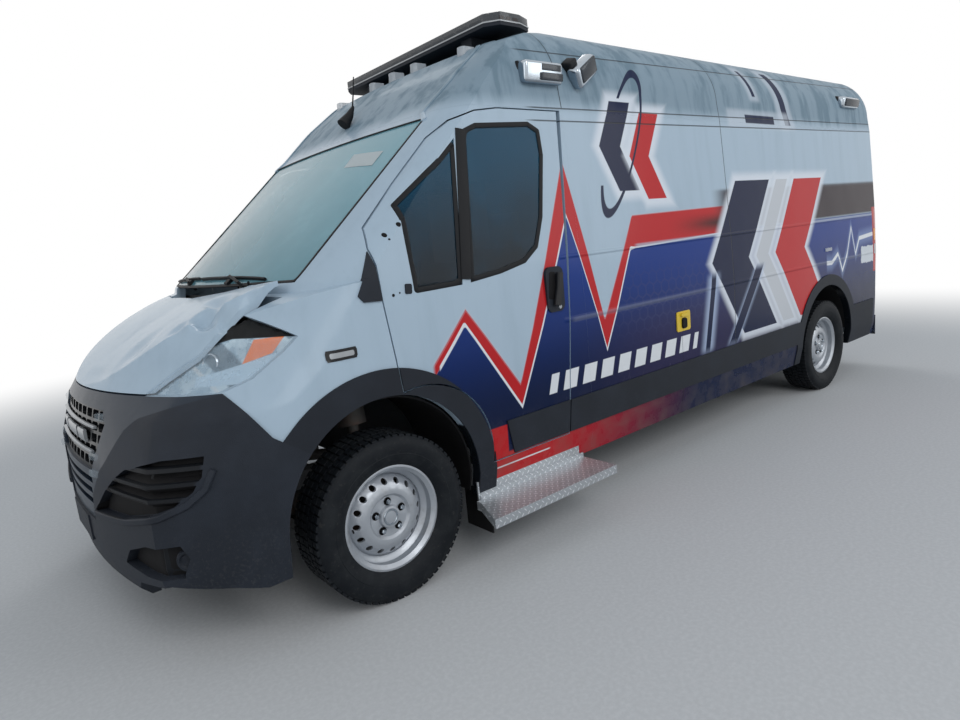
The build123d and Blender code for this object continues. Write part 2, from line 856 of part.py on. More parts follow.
# Grille, set back in its opening and pierced in rows
grille_setback = 12
grille_pitch = (74, 45)
grille_count = (11, 5)
grille_rim = 9
with BuildPart() as grille_holes:
    with BuildSketch(Plane.YZ.offset(nose_range[0])):
        with Locations((0, 858)):
            with GridLocations(*grille_pitch, *grille_count):
                RectangleRounded(grille_pitch[0] - 12, grille_pitch[1] - 12, 8)
    extrude(amount=500)
    with BuildSketch(Plane.YZ.offset(nose_range[0])):
        with BuildLine():
            Polyline(*grille_outline)
            mirror(about=Plane.YZ)
        make_face()
        offset(amount=-grille_rim, kind=Kind.INTERSECTION, mode=Mode.REPLACE)
    extrude(amount=500, mode=Mode.INTERSECT)
with BuildPart() as grille:
    add(shell.moved(Location((-grille_setback, 0, 0))))
    add(front_pair(grille_outline, nose_range), mode=Mode.INTERSECT)
    add(shell.moved(Location((-seat_gap, 0, 0))), mode=Mode.INTERSECT)
    add(grille_holes.part, mode=Mode.SUBTRACT)

# Black outer trim: wheel arch trims and side mouldings
moulding_top = 648
moulding_bottom = rocker_top + 6
front_trim = arch_prism(front_axle_x + 10, front_arch_height, front_arch_radius + front_trim_width, side_range)
rear_trim = arch_prism(rear_axle_x, rear_arch_height, rear_arch_radius + rear_trim_width, side_range)
moulding = side_prism([(rear_x, moulding_bottom), (rear_x, moulding_top), (1420, moulding_top),
                       (1385, moulding_bottom)], side_range)
rear_corner = side_prism([(rear_x, sill_bottom + 2), (rear_x, moulding_top), (rear_axle_x - 400, moulding_top),
                          (rear_axle_x - 400, sill_bottom + 2)], side_range)
pillar_trim = side_prism([(2003, 1470), (2094, 1307), (2072, 1281), (1990, 1277)], side_range)
with BuildPart() as trim_area:
    add(front_trim)
    add(rear_trim)
    add(moulding)
    add(rear_corner)
    add(pillar_trim)
    add(front_arch, mode=Mode.SUBTRACT)
    add(rear_arch, mode=Mode.SUBTRACT)
    add(box((rear_x, front_x), full_range, (0, sill_bottom + 2)), mode=Mode.SUBTRACT)
    add(box((rear_x - 100, rear_door_face + rear_corner_radius), full_range, (0, 3000)), mode=Mode.SUBTRACT)
with BuildPart() as trim_left:
    add(trim.moved(Location((0, seat_gap, 0))))
    add(trim_area.part, mode=Mode.INTERSECT)
with BuildPart() as handle_block:
    with BuildSketch(Plane.XZ.offset(-900)):
        with Locations((1040, 1205)):
            RectangleRounded(118, 215, 34)
    extrude(amount=-(half_width - 3 - 900))
    add(outside, mode=Mode.SUBTRACT)
with BuildPart() as door_left_trim:
    add(trim_left.part)
    add(door_prism(-1, side_range), mode=Mode.INTERSECT)
    add(door_rear_strip, mode=Mode.SUBTRACT)
    add(handle_block.part.moved(Location((0, seat_gap, 0))))
with BuildPart() as root_trim_left:
    add(trim_left.part)
    add(door_cut, mode=Mode.SUBTRACT)
    add(bumper_region, mode=Mode.SUBTRACT)
with BuildPart() as body_trim:
    add(both(root_trim_left.part))
    for x in (-566, 780):
        add(box((x, x + panel_gap), (-side_far, -600), (0, 3000)), mode=Mode.SUBTRACT)

# Tail lamps in the rear corners
with BuildPart() as tail_lamp_left:
    add(shell)
    add(tail_lamp_region, mode=Mode.INTERSECT)
with BuildPart() as tail_lamps:
    add(both(tail_lamp_left.part))

# Floor with its rails, wheel boxes cut out
floor_half = 955
floor_front = 1925
sill_reach = 964.6
front_box = arch_prism(front_axle_x, front_arch_height, front_arch_radius + 1, (555, side_far))
rear_box = arch_prism(rear_axle_x, rear_arch_height, rear_arch_radius + liner_thickness + 1, (625, side_far))
with BuildPart() as floor_pan:
    add(box((rear_door_face + wall + 10, floor_front), (-floor_half, floor_half),
            (floor_top - floor_thickness, floor_top)))
    add(both(box((rear_door_face + wall + 10, 2230), rail_y, rail_z)))
    for x in (-2840, -1300, -700, 0, 700, 1500):
        add(box((x, x + 60), (-floor_half, floor_half), (floor_top - floor_thickness - 60, floor_top - floor_thickness)))
    add(both(box((-1400, pillar_x - 20), (900, sill_reach), (455, floor_top - floor_thickness))))
    add(both(box((-500, 700), (950, 967.3), (floor_top - floor_thickness, floor_top))))
    add(both(front_box), mode=Mode.SUBTRACT)
    add(both(rear_box), mode=Mode.SUBTRACT)

# Wheel liners, strut towers and mud flaps
tower_length = damper_length + 226 + seat_gap
seat_form = inside.moved(Location((0, -seat_gap - 0.1, 0)))
with BuildPart() as liner_left:
    add(arch_prism(front_axle_x, front_arch_height, front_arch_radius - 8, (560, 1000)))
    add(arch_prism(front_axle_x, front_arch_height, front_arch_radius - 8 - liner_thickness, (550, 1100)),
        mode=Mode.SUBTRACT)
    add(seat_form, mode=Mode.INTERSECT)
    add(box((0, 4000), (0, 1200), (0, 360)), mode=Mode.SUBTRACT)
    with BuildSketch(strut_plane(560)):
        Circle(spring_radius + 20)
    extrude(amount=200, mode=Mode.SUBTRACT)
    with BuildSketch(strut_plane(690)):
        Circle(spring_radius + 28)
        Circle(spring_radius + 20, mode=Mode.SUBTRACT)
    extrude(amount=tower_length - 690)
    with BuildSketch(strut_plane(tower_length)):
        Circle(spring_radius + 28)
    extrude(amount=8)
with BuildPart() as rear_liner_left:
    add(arch_prism(rear_axle_x, rear_arch_height, rear_arch_radius + liner_thickness, (632, 1000)))
    add(arch_prism(rear_axle_x, rear_arch_height, rear_arch_radius, (632 + liner_thickness, 1100)),
        mode=Mode.SUBTRACT)
    add(seat_form, mode=Mode.INTERSECT)
    add(box((-4000, 0), (0, 1200), (0, 460)), mode=Mode.SUBTRACT)
with BuildPart() as flap_left:
    add(box((1530, 1538), (800, 985), (130, sill_bottom - seat_gap)))
with BuildPart() as wheel_liners:
    add(both(liner_left.part))
    add(both(rear_liner_left.part))
    add(both(flap_left.part))

# Rear axle on leaf springs
spring_y = 560
with BuildPart() as rear_axle:
    add(disc_y(rear_axle_x, wheel_z, 34, (-760, 760)))
    for side in (1, -1):
        y = sorted((side * 745, side * (rear_wheel_y - 50)))
        add(disc_y(rear_axle_x, wheel_z, 140, y))
        y = sorted((side * 745, side * (rear_wheel_y + wheel_mount_y - seat_gap)))
        add(disc_y(rear_axle_x, wheel_z, 72, y))
with BuildPart() as leaf_springs:
    for side in (1, -1):
        with BuildSketch(Plane.XZ.offset(-(side * spring_y - 35))):
            with BuildLine():
                low = ThreePointArc((rear_axle_x - 620, 462), (rear_axle_x, wheel_z + 34.4),
                                    (rear_axle_x + 620, 462))
                Line(low @ 1, (rear_axle_x + 620, 484))
                high = ThreePointArc((rear_axle_x + 620, 484), (rear_axle_x, wheel_z + 56.4),
                                     (rear_axle_x - 620, 484))
                Line(high @ 1, low @ 0)
            make_face()
        extrude(amount=-70)
        for x in (rear_axle_x - 620, rear_axle_x + 590):
            add(box((x, x + 30), (side * spring_y - 40, side * spring_y + 40),
                    (462, floor_top - floor_thickness - seat_gap)))

# Engine, radiator and front carrier
with BuildPart() as engine:
    add(box((2190, 2680), (-330, 330), (subframe_z[1] + seat_gap, 880)))
with BuildPart() as front_carrier:
    add(both(box((2230, 2700), rail_y, rail_z)))
    add(both(box((2700, 2760), (400, 480), (300, 960))))
    add(box((2700, 2760), (-480, 480), (300, 340)))
    add(box((2700, 2760), (-480, 480), (960, 1000)))
    add(box((2755, 2800), (-395, 395), (340, 960)))
with BuildPart() as bonnet_posts:
    add(both(box((2700, 2760), (200, 260), (990, 1300))))
    add(inside.moved(Location((0, 0, -seat_gap - 0.1))), mode=Mode.INTERSECT)
with BuildPart() as carrier_with_posts:
    add(front_carrier.part)
    add(bonnet_posts.part)

# Cab inside
dash_front = floor_front + 5 - seat_gap
column_foot = Vector(1670, 515, 1110)
column_dir = Vector(-0.87, 0, 0.49).normalized()
wheel_hub = column_foot + column_dir * 150
with BuildPart() as firewall:
    add(lining)
    add(box((floor_front + 5, floor_front + 30), full_range, (rail_z[1], 1190)), mode=Mode.INTERSECT)
    add(both(front_box), mode=Mode.SUBTRACT)
    add(both(box((floor_front, floor_front + 60), (872, 1100), (1100, 1300))), mode=Mode.SUBTRACT)
with BuildPart() as dashboard:
    add(side_prism([(dash_front, 905), (1760, 885), (1660, 1120), (1750, 1215), (2260, 1330), (2260, 1280),
                    (dash_front, 1195)], (-870, 870)))
    add(lining, mode=Mode.INTERSECT)
    with BuildSketch(Plane(origin=column_foot + column_dir * -60, z_dir=column_dir)):
        Circle(32)
    extrude(amount=60 + 150 - 20 - seat_gap)
with BuildPart() as partition:
    add(lining)
    add(box((775, 800), full_range, (floor_top, 2300)), mode=Mode.INTERSECT)
    add(box((700, 900), (-300, 300), (1350, 1800)), mode=Mode.SUBTRACT)
seat_width = 480
with BuildPart() as seat_left:
    add(side_prism([(930, floor_top), (930, 830), (1400, 830), (1400, floor_top)], (280, 280 + seat_width)))
    add(side_prism([(930, 830), (830, 1420), (920, 1430), (1050, 960), (1430, 980), (1440, 830)],
                   (280, 280 + seat_width)))
    add(side_prism([(838, 1410), (822, 1600), (895, 1610), (915, 1410)], (280 + 130, 280 + seat_width - 130)))
with BuildPart() as seat_right:
    add(mirrored(seat_left.part))

# Patient compartment
with BuildPart() as bench:
    add(box((-1500, -650), (-930, -480), (floor_top, 980)))
with BuildPart() as cabinets:
    add(box((-1480, 640), (520, 960), (floor_top, 1000)))
    add(box((-1480, 640), (620, 960), (1450, 1900)))
    add(box((-1480, -900), (520, 960), (1000, 1900)))
    add(lining, mode=Mode.INTERSECT)

# Tank, exhaust and steps
with BuildPart() as fuel_tank:
    add(box((-400, 640), (470, 850), (290, floor_top - floor_thickness - 60)))
exhaust_radius = 30
with BuildPart() as exhaust:
    add(tube_along([(2100, -250, 400), (1700, -250, 330), (-1300, -250, 330), (-1700, -250, 250),
                    (-2300, -250, 250), (-2900, -420, 300)], exhaust_radius))
    add(box((300, 1000), (-360, -140), (260, 400)))
    for x in (600, -1000, -2250):
        add(box((x, x + 20), (-262, -238), (250, floor_top - floor_thickness)))
step_out = 1215
with BuildPart() as step_left:
    add(plan_prism([(905, 1000), (905, step_out), (1705, step_out), (1625, 1026), (1625, 1000)], (280, 322)))
    add(box((905, 1600), (996, 1002), (322, 345)))
    for x in (980, 1480):
        add(box((x, x + 40), (890, 1000), (300, 330)))
with BuildPart() as steps:
    add(both(step_left.part))

# Rear bumper with its step pad
with BuildPart() as rear_bumper:
    with BuildSketch(Plane.XY.offset(320)):
        with BuildLine():
            Polyline((rear_door_face - seat_gap, 0), (rear_door_face - seat_gap, 1010), (rear_x + 25, 1005), (rear_x, 960), (rear_x, 0))
            mirror(about=Plane.XZ)
        make_face()
    extrude(amount=170)

# Lamps on the roof and sides, and the power inlet
bar_z = (2478, 2496)
bar_plan = [(760, -700), (850, -735), (980, -735), (1035, -670), (1035, 670), (980, 735), (850, 735), (760, 700)]
with BuildPart() as light_bar:
    add(plan_prism(bar_plan, bar_z))
    add(box((830, 960), (-560, 560), (bar_z[1], 2532)))
    for y in (-480, 480):
        add(box((800, 990), (y - 40, y + 40), (2380, bar_z[0])))
    add(outside, mode=Mode.SUBTRACT)
with BuildPart() as light_bar_lens:
    add(plan_prism(bar_plan, (bar_z[1] + seat_gap, 2538)))
    add(box((830 - seat_gap, 960 + seat_gap), (-560 - seat_gap, 560 + seat_gap), (bar_z[1], 2532 + seat_gap)),
        mode=Mode.SUBTRACT)
marker_rows = [(0, 2420), (212, 2415), (-212, 2415), (614, 2390), (-614, 2390)]
with BuildPart() as roof_markers:
    for y, top in marker_rows:
        with BuildSketch(Plane.XY.offset(top - 110)):
            with Locations((1112, y)):
                RectangleRounded(96, 66, 24)
        extrude(amount=110, taper=3)
    add(outside, mode=Mode.SUBTRACT)
side_lamp_rows = [(850, 240, 2155, 90), (-2740, 330, 2215, 84)]
with BuildPart() as side_lamps_left:
    for x, run, z, rise in side_lamp_rows:
        with BuildSketch(Plane.XZ.offset(-700)):
            with Locations((x + run / 2, z + rise / 2)):
                RectangleRounded(run, rise, 24)
        extrude(amount=-(972 - 700))
    add(box((560, 740), (700, 985), (2150, 2270)))
    add(outside, mode=Mode.SUBTRACT)
with BuildPart() as side_lamps:
    add(both(side_lamps_left.part))
with BuildPart() as power_inlet:
    with BuildSketch(Plane.XZ.offset(-(flank + seat_gap))):
        with Locations((-12, 890)):
            RectangleRounded(136, 116, 14)
    extrude(amount=-6)

# Hinge and latch mounts behind the front doors
with BuildPart() as door_mounts_left:
    add(box((1895, 2010), (880, 1100), (1120, 1190)))
    add(box((860, 1000), (880, 1100), (1050, 1110)))
    add(inside, mode=Mode.INTERSECT)
with BuildPart() as door_mounts:
    add(both(door_mounts_left.part.moved(Location((0, -seat_gap - 0.1, 0)))))

# Steering wheel
with BuildPart() as steering_wheel:
    with BuildSketch(Plane(origin=wheel_hub + column_dir * -20, z_dir=column_dir)):
        Circle(70)
    extrude(amount=34)
    with BuildSketch(Plane(origin=wheel_hub + column_dir * -8, z_dir=column_dir)):
        Rectangle(360, 34)
    extrude(amount=14)
    rim_plane = Plane(origin=wheel_hub, z_dir=column_dir)
    with BuildSketch(Plane(origin=wheel_hub + rim_plane.x_dir * 185, x_dir=rim_plane.x_dir, z_dir=rim_plane.y_dir)):
        Circle(15)
    revolve(axis=Axis(wheel_hub, column_dir))

with BuildPart() as cab_shell:
    add(cab_frame.part)
    add(door_mounts.part)
with BuildPart() as bulkheads:
    add(firewall.part)
    add(partition.part)
with BuildPart() as seats:
    add(both(seat_left.part))
with BuildPart() as furniture:
    add(bench.part)
    add(cabinets.part)
with BuildPart() as rear_suspension:
    add(rear_axle.part)
    add(leaf_springs.part)
single_pieces = {
    "side_panel_left": side_panel_left, "side_panel_right": side_panel_right, "sliding_door": sliding_door,
    "sliding_door_glass": sliding_door_glass, "roof_panel": roof_panel, "cab_frame": cab_shell,
    "windscreen": windscreen, "bonnet": bonnet, "front_bumper": front_bumper, "grille": grille,
    "body_trim": body_trim, "tail_lamps": tail_lamps, "floor_pan": floor_pan, "wheel_liners": wheel_liners,
    "rear_axle": rear_suspension, "engine": engine, "front_carrier": carrier_with_posts, "bulkheads": bulkheads,
    "dashboard": dashboard, "seats": seats, "furniture": furniture, "fuel_tank": fuel_tank,
    "exhaust": exhaust, "steps": steps, "rear_bumper": rear_bumper, "light_bar": light_bar,
    "light_bar_lens": light_bar_lens, "roof_markers": roof_markers, "side_lamps": side_lamps,
    "power_inlet": power_inlet, "nose_panel": nose_panel, "steering_wheel": steering_wheel, "front_subframe": front_subframe,
}
shared_pairs = {
    "headlamps": headlamp_left, "front_struts": front_struts_left, "rear_door_hinges": rear_hinges,
    "fenders": fender_left,
}
handed_pieces = {
    "door": door_left, "door_glass": door_left_glass, "door_trim": door_left_trim,
    "rear_door": rear_door_left, "rear_glass": rear_glass_left, "knuckle": knuckle_left,
}
for name, block in single_pieces.items():
    save(block.part, name)
for name, block in shared_pairs.items():
    save(both(block.part), name)
for name, block in handed_pieces.items():
    save(block.part, f"{name}_left")
    save(mirrored(block.part), f"{name}_right")
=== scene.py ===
"""Looks for a high-roof van ambulance, laid over its solid model."""

import json
from math import cos, pi, radians, sin, sqrt

import bmesh
import bpy
from mathutils import Matrix, Vector
from mathutils.bvhtree import BVHTree

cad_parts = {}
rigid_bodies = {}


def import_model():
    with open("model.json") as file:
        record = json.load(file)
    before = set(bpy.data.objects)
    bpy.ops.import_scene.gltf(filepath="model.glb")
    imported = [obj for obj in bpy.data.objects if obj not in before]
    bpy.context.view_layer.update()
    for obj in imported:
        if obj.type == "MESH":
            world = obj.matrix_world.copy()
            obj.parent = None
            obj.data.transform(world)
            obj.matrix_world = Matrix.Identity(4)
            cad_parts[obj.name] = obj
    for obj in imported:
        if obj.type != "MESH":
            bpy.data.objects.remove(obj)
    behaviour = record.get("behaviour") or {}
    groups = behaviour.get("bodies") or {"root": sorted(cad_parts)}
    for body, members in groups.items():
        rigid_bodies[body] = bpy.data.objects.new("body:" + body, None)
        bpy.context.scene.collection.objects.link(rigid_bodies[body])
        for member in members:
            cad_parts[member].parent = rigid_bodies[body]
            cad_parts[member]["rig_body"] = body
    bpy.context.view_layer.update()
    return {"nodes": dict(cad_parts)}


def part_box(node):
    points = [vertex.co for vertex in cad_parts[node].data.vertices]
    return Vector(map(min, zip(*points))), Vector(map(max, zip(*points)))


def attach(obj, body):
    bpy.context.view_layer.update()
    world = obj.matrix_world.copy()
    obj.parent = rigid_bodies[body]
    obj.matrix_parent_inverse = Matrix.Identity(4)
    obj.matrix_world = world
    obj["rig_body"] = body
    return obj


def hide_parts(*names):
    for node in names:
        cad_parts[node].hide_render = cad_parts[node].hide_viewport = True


bl_info = {
    "name": "Van ambulance",
    "version": (1, 0, 0),
    "blender": (4, 5, 0),
    "location": "3D View > Sidebar > Ambulance",
    "description": "Finishes and fine parts for the solid model of a van ambulance",
    "category": "Object",
}

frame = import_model()
NODES = frame["nodes"]
WHEELS = ("front_left", "front_right", "rear_left", "rear_right")
SIDES = (("left", 1), ("right", -1))
# Heights below are given over the body's own datum, which lies this far under the ground
DATUM = 0.04255


def placed(point):
    """A point given over the body's datum, as it stands in the scene."""
    return Vector(point) - Vector((0, 0, DATUM))


def body_of(node):
    """The moving body that a node of the solid model belongs to."""
    return NODES[node]["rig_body"]


# Sizes and colours

class AmbulanceLook(bpy.types.PropertyGroup):
    """Colours and wear of the whole van."""

    paint: bpy.props.FloatVectorProperty(
        name="Paint", description="Colour of the bodywork", subtype="COLOR", size=3,
        default=(0.42, 0.53, 0.63))
    red: bpy.props.FloatVectorProperty(
        name="Red", description="Red of the side stripe", subtype="COLOR", size=3,
        default=(0.50, 0.018, 0.022))
    blue: bpy.props.FloatVectorProperty(
        name="Blue", description="Bright blue under the stripe", subtype="COLOR", size=3,
        default=(0.006, 0.038, 0.23))
    navy: bpy.props.FloatVectorProperty(
        name="Navy", description="Dark blue low on the side", subtype="COLOR", size=3,
        default=(0.004, 0.011, 0.046))
    plastic: bpy.props.FloatVectorProperty(
        name="Plastic", description="Colour of the bumper and mouldings", subtype="COLOR", size=3,
        default=(0.014, 0.018, 0.026))
    grime: bpy.props.FloatProperty(
        name="Grime", description="Strength of the streaks and dust", subtype="FACTOR",
        default=1.0, min=0.0, max=2.0)


class TyreLook(bpy.types.PropertyGroup):
    """Tread of the tyres."""

    blocks: bpy.props.IntProperty(
        name="Blocks", description="Tread blocks round each rib", default=68, min=20)
    groove_depth: bpy.props.FloatProperty(
        name="Groove depth", description="Depth of the tread", unit="LENGTH", default=0.008)


# Shader building

class Term:
    """A number in a shader that takes Python's operators."""

    def __init__(self, finish, socket):
        self.finish = finish
        self.socket = socket

    def calc(self, operation, *terms):
        """The term that a math node makes of some terms or numbers."""
        node = self.finish.node("ShaderNodeMath", {"operation": operation}, dict(enumerate(terms)))
        return Term(self.finish, node.outputs[0])

    def __add__(self, other):
        return self.calc("ADD", self, other)

    __radd__ = __add__

    def __sub__(self, other):
        return self.calc("SUBTRACT", self, other)

    def __rsub__(self, other):
        return self.calc("SUBTRACT", other, self)

    def __mul__(self, other):
        return self.calc("MULTIPLY", self, other)

    __rmul__ = __mul__

    def __truediv__(self, other):
        return self.calc("DIVIDE", self, other)

    def __rtruediv__(self, other):
        return self.calc("DIVIDE", other, self)

    def __neg__(self):
        return self.calc("MULTIPLY", self, -1.0)

    def __abs__(self):
        return self.calc("ABSOLUTE", self)

    def __mod__(self, period):
        return self.calc("FLOORED_MODULO", self, period)

    def __pow__(self, power):
        return self.calc("POWER", self, power)

    def least(self, other):
        """The smaller of two."""
        return self.calc("MINIMUM", self, other)

    def most(self, other):
        """The greater of two."""
        return self.calc("MAXIMUM", self, other)

    def step(self, low, high):
        """Rises smoothly from 0 at low to 1 at high; falls where low is above high."""
        if low > high:
            return 1 - self.step(high, low)
        node = self.finish.node(
            "ShaderNodeMapRange", {"interpolation_type": "SMOOTHSTEP"}, {0: self, 1: low, 2: high})
        return Term(self.finish, node.outputs[0])

    def between(self, low, high, soft):
        """1 from low to high with soft ends."""
        return self.step(low - soft, low + soft) * self.step(high + soft, high - soft)


class Finish:
    """A material that is being built."""

    def __init__(self, name, world=False):
        self.material = (bpy.data.worlds if world else bpy.data.materials).new(name)
        self.material.use_nodes = True
        self.tree = self.material.node_tree
        self.tree.nodes.clear()
        self.coords = self.node("ShaderNodeTexCoord")

    def node(self, kind, settings=None, values=None):
        """A node with its settings made first and its inputs fed after."""
        node = self.tree.nodes.new(kind)
        for key, value in (settings or {}).items():
            if key == "stops":
                self.set_stops(node.color_ramp, value)
            else:
                setattr(node, key, value)
        for key, value in (values or {}).items():
            self.feed(node.inputs[key], value)
        return node

    def set_stops(self, ramp, stops):
        """Gives a colour ramp its (place, colour) stops."""
        while len(ramp.elements) < len(stops):
            ramp.elements.new(0.5)
        for element, (place, colour) in zip(ramp.elements, sorted(stops)):
            element.position = place
            element.color = (*colour, 1.0)

    def feed(self, socket, value):
        """Links a term or an output to an input, or sets a plain value."""
        if isinstance(value, Term):
            value = value.socket
        if isinstance(value, bpy.types.NodeSocket):
            self.tree.links.new(value, socket)
        elif socket.type == "RGBA" and len(value) == 3:
            socket.default_value = (*value, 1.0)
        else:
            socket.default_value = value

    def place(self):
        """The three object coordinates, with the height taken over the body's datum."""
        node = self.node("ShaderNodeSeparateXYZ", None, {0: self.coords.outputs["Object"]})
        x, y, z = [Term(self, socket) for socket in node.outputs]
        return x, y, z + DATUM

    def facing(self):
        """The three parts of the normal."""
        node = self.node("ShaderNodeSeparateXYZ", None, {0: self.coords.outputs["Normal"]})
        return [Term(self, socket) for socket in node.outputs]

    def vector(self, x, y, z):
        """A vector from three terms."""
        return self.node("ShaderNodeCombineXYZ", None, {0: x, 1: y, 2: z}).outputs[0]

    def stretched(self, sx, sy, sz):
        """Object coordinates scaled by three numbers."""
        node = self.node("ShaderNodeVectorMath", {"operation": "MULTIPLY"},
                         {0: self.coords.outputs["Object"], 1: (sx, sy, sz)})
        return node.outputs[0]

    def noise(self, scale, detail=3.0, rough=0.55, at=None):
        """Cloudy values between 0 and 1."""
        node = self.node("ShaderNodeTexNoise", None, {
            "Vector": at or self.coords.outputs["Object"], "Scale": scale, "Detail": detail,
            "Roughness": rough})
        return Term(self, node.outputs[0])

    def cells(self, scale):
        """Distance to the middle of the nearest cell."""
        node = self.node("ShaderNodeTexVoronoi", None, {
            "Vector": self.coords.outputs["Object"], "Scale": scale})
        return Term(self, node.outputs[0])

    def mix(self, share, low, high):
        """A colour between two colours."""
        node = self.node("ShaderNodeMix", {"data_type": "RGBA"}, {0: share, 6: low, 7: high})
        return node.outputs[2]

    def bump(self, height, distance, strength=1.0, under=None):
        """A normal raised by a height, over another normal if one is given."""
        values = {"Height": height, "Distance": distance, "Strength": strength}
        if under is not None:
            values["Normal"] = under
        return self.node("ShaderNodeBump", None, values).outputs[0]

    def done(self, **values):
        """Closes the material with one shader; words name its inputs."""
        names = {"color": "Base Color", "roughness": "Roughness", "metallic": "Metallic",
                 "normal": "Normal", "alpha": "Alpha", "coat": "Coat Weight",
                 "coat_roughness": "Coat Roughness", "ior": "IOR", "specular": "Specular IOR Level",
                 "sheen": "Sheen Weight", "transmission": "Transmission Weight"}
        shader = self.node("ShaderNodeBsdfPrincipled", None,
                           {names[key]: value for key, value in values.items()})
        self.node("ShaderNodeOutputMaterial", None, {"Surface": shader.outputs[0]})
        return self.material


# Axles and the reach of the dark arch edges round them, over the body's datum
FRONT_AXLE, REAR_AXLE, AXLE_HEIGHT, ARCH_EDGE = 2.051, -1.984, 0.392, 0.485

# The side stripe: (x, height) of the line between paint and red, and between red and blue
STRIPE_TOP = [(-0.9, 1.535), (0.382, 1.520), (0.689, 1.004), (0.874, 1.812), (1.313, 0.800),
              (1.589, 1.187), (1.80, 0.97)]
STRIPE_FOOT = [(-0.9, 1.375), (0.426, 1.349), (0.682, 0.846), (0.892, 1.549), (1.314, 0.690),
               (1.604, 1.126), (1.80, 0.92)]
# Blue strokes high on the side: x, lean, width, and the heights they run between
STROKES = [(-1.07, 0.24, 0.035, 2.22, 2.40), (-1.44, 0.30, 0.075, 2.045, 2.41),
           (-1.11, 0.0, 0.38, 2.045, 2.098)]
STROKE_HEIGHT = 2.24
# The heartbeat line behind the rear wheel
TRACE = [(-2.90, 1.20), (-2.585, 1.18), (-2.50, 1.06), (-2.433, 1.28), (-2.34, 1.08),
         (-2.245, 0.95), (-2.165, 1.09), (-2.05, 1.03), (-1.95, 1.035)]
# Two leaning bars over the sill: x at BAR_HEIGHT, slope and half width
BARS = ((-0.31, 0.23, 0.022), (-0.72, 0.80, 0.045))
BAR_HEIGHT = 0.85
# The blank blocks low on the side: their pitch, their lean, and the colour of the pale marks
BLOCK_PITCH, BLOCK_LEAN = 0.142, 0.3
MARK_WHITE = (0.74, 0.77, 0.80)
# Hexagons to a metre in the blue field
HEXAGONS = 14.0
# Arrow heads: tint, then the tip's x, the middle's height, lean, width and half height
ARROW_HEADS = [("navy", -0.36, 1.19, 0.72, 0.44, 0.49), ("pale", -0.90, 1.19, 0.72, 0.16, 0.49),
               ("red", -1.16, 1.19, 0.72, 0.44, 0.49), ("navy", 0.58, 1.88, 0.55, 0.17, 0.23),
               ("red", 0.34, 1.83, 0.55, 0.17, 0.23)]
# The open ring round the small set: its middle, lean, and half width and height
RING_X, RING_Z, RING_LEAN, RING_REACH = 0.385, 1.905, 0.49, (0.125, 0.365)
# Panel joints: x of the upright ones; height at x 0 and slope of the level ones
CAB_SEAM, DOOR_SEAM = 0.826, -0.600
LEVEL_SEAMS = [(2.004, -0.0117), (2.064, -0.0126), (2.343, -0.0215)]
# Heights of the two grooves pressed along the side
LOW_GROOVE, HIGH_GROOVE = 1.045, 1.352


def line_height(points, x):
    """Height of a broken line at x."""
    points = sorted(points)
    if x <= points[0][0]:
        return points[0][1]
    for (x0, z0), (x1, z1) in zip(points, points[1:]):
        if x <= x1:
            return z0 + (z1 - z0) * (x - x0) / (x1 - x0)
    return points[-1][1]


def broken_lines(finish, x, *lines):
    """Heights at x of up to three broken lines, read from one ramp."""
    places = sorted({point[0] for line in lines for point in line})
    low, run, scale = places[0], places[-1] - places[0], 2.5
    stops = []
    for place in places:
        heights = [line_height(line, place) / scale for line in lines]
        stops.append(((place - low) / run, (heights + [0.0, 0.0])[:3]))
    ramp = finish.node("ShaderNodeValToRGB", {"stops": stops}, {0: (x - low) / run})
    parts = finish.node("ShaderNodeSeparateColor", None, {0: ramp.outputs[0]})
    return [Term(finish, parts.outputs[i]) * scale for i in range(len(lines))]


def chevron(x, z, tip, middle, lean, width, reach):
    """Rough distance to an arrow head that points forward, negative inside."""
    away = abs(x + abs(z - middle) * lean - (tip - width / 2)) - width / 2
    across = away / sqrt(1 + lean * lean)
    return across.most(abs(z - middle) - reach)


def hexagon_edges(u, v):
    """How near a point is to the edge of its hexagon, 0 in the middle and 0.5 at the edge."""
    tall = sqrt(3)
    ax, az = u % 1.0 - 0.5, v % tall - tall / 2
    bx, bz = (u - 0.5) % 1.0 - 0.5, (v - tall / 2) % tall - tall / 2
    nearer = (bx * bx + bz * bz - ax * ax - az * az).step(-0.001, 0.001)
    gx = abs(bx + (ax - bx) * nearer)
    gz = abs(bz + (az - bz) * nearer)
    return gx.most(gx * 0.5 + gz * (tall / 2))


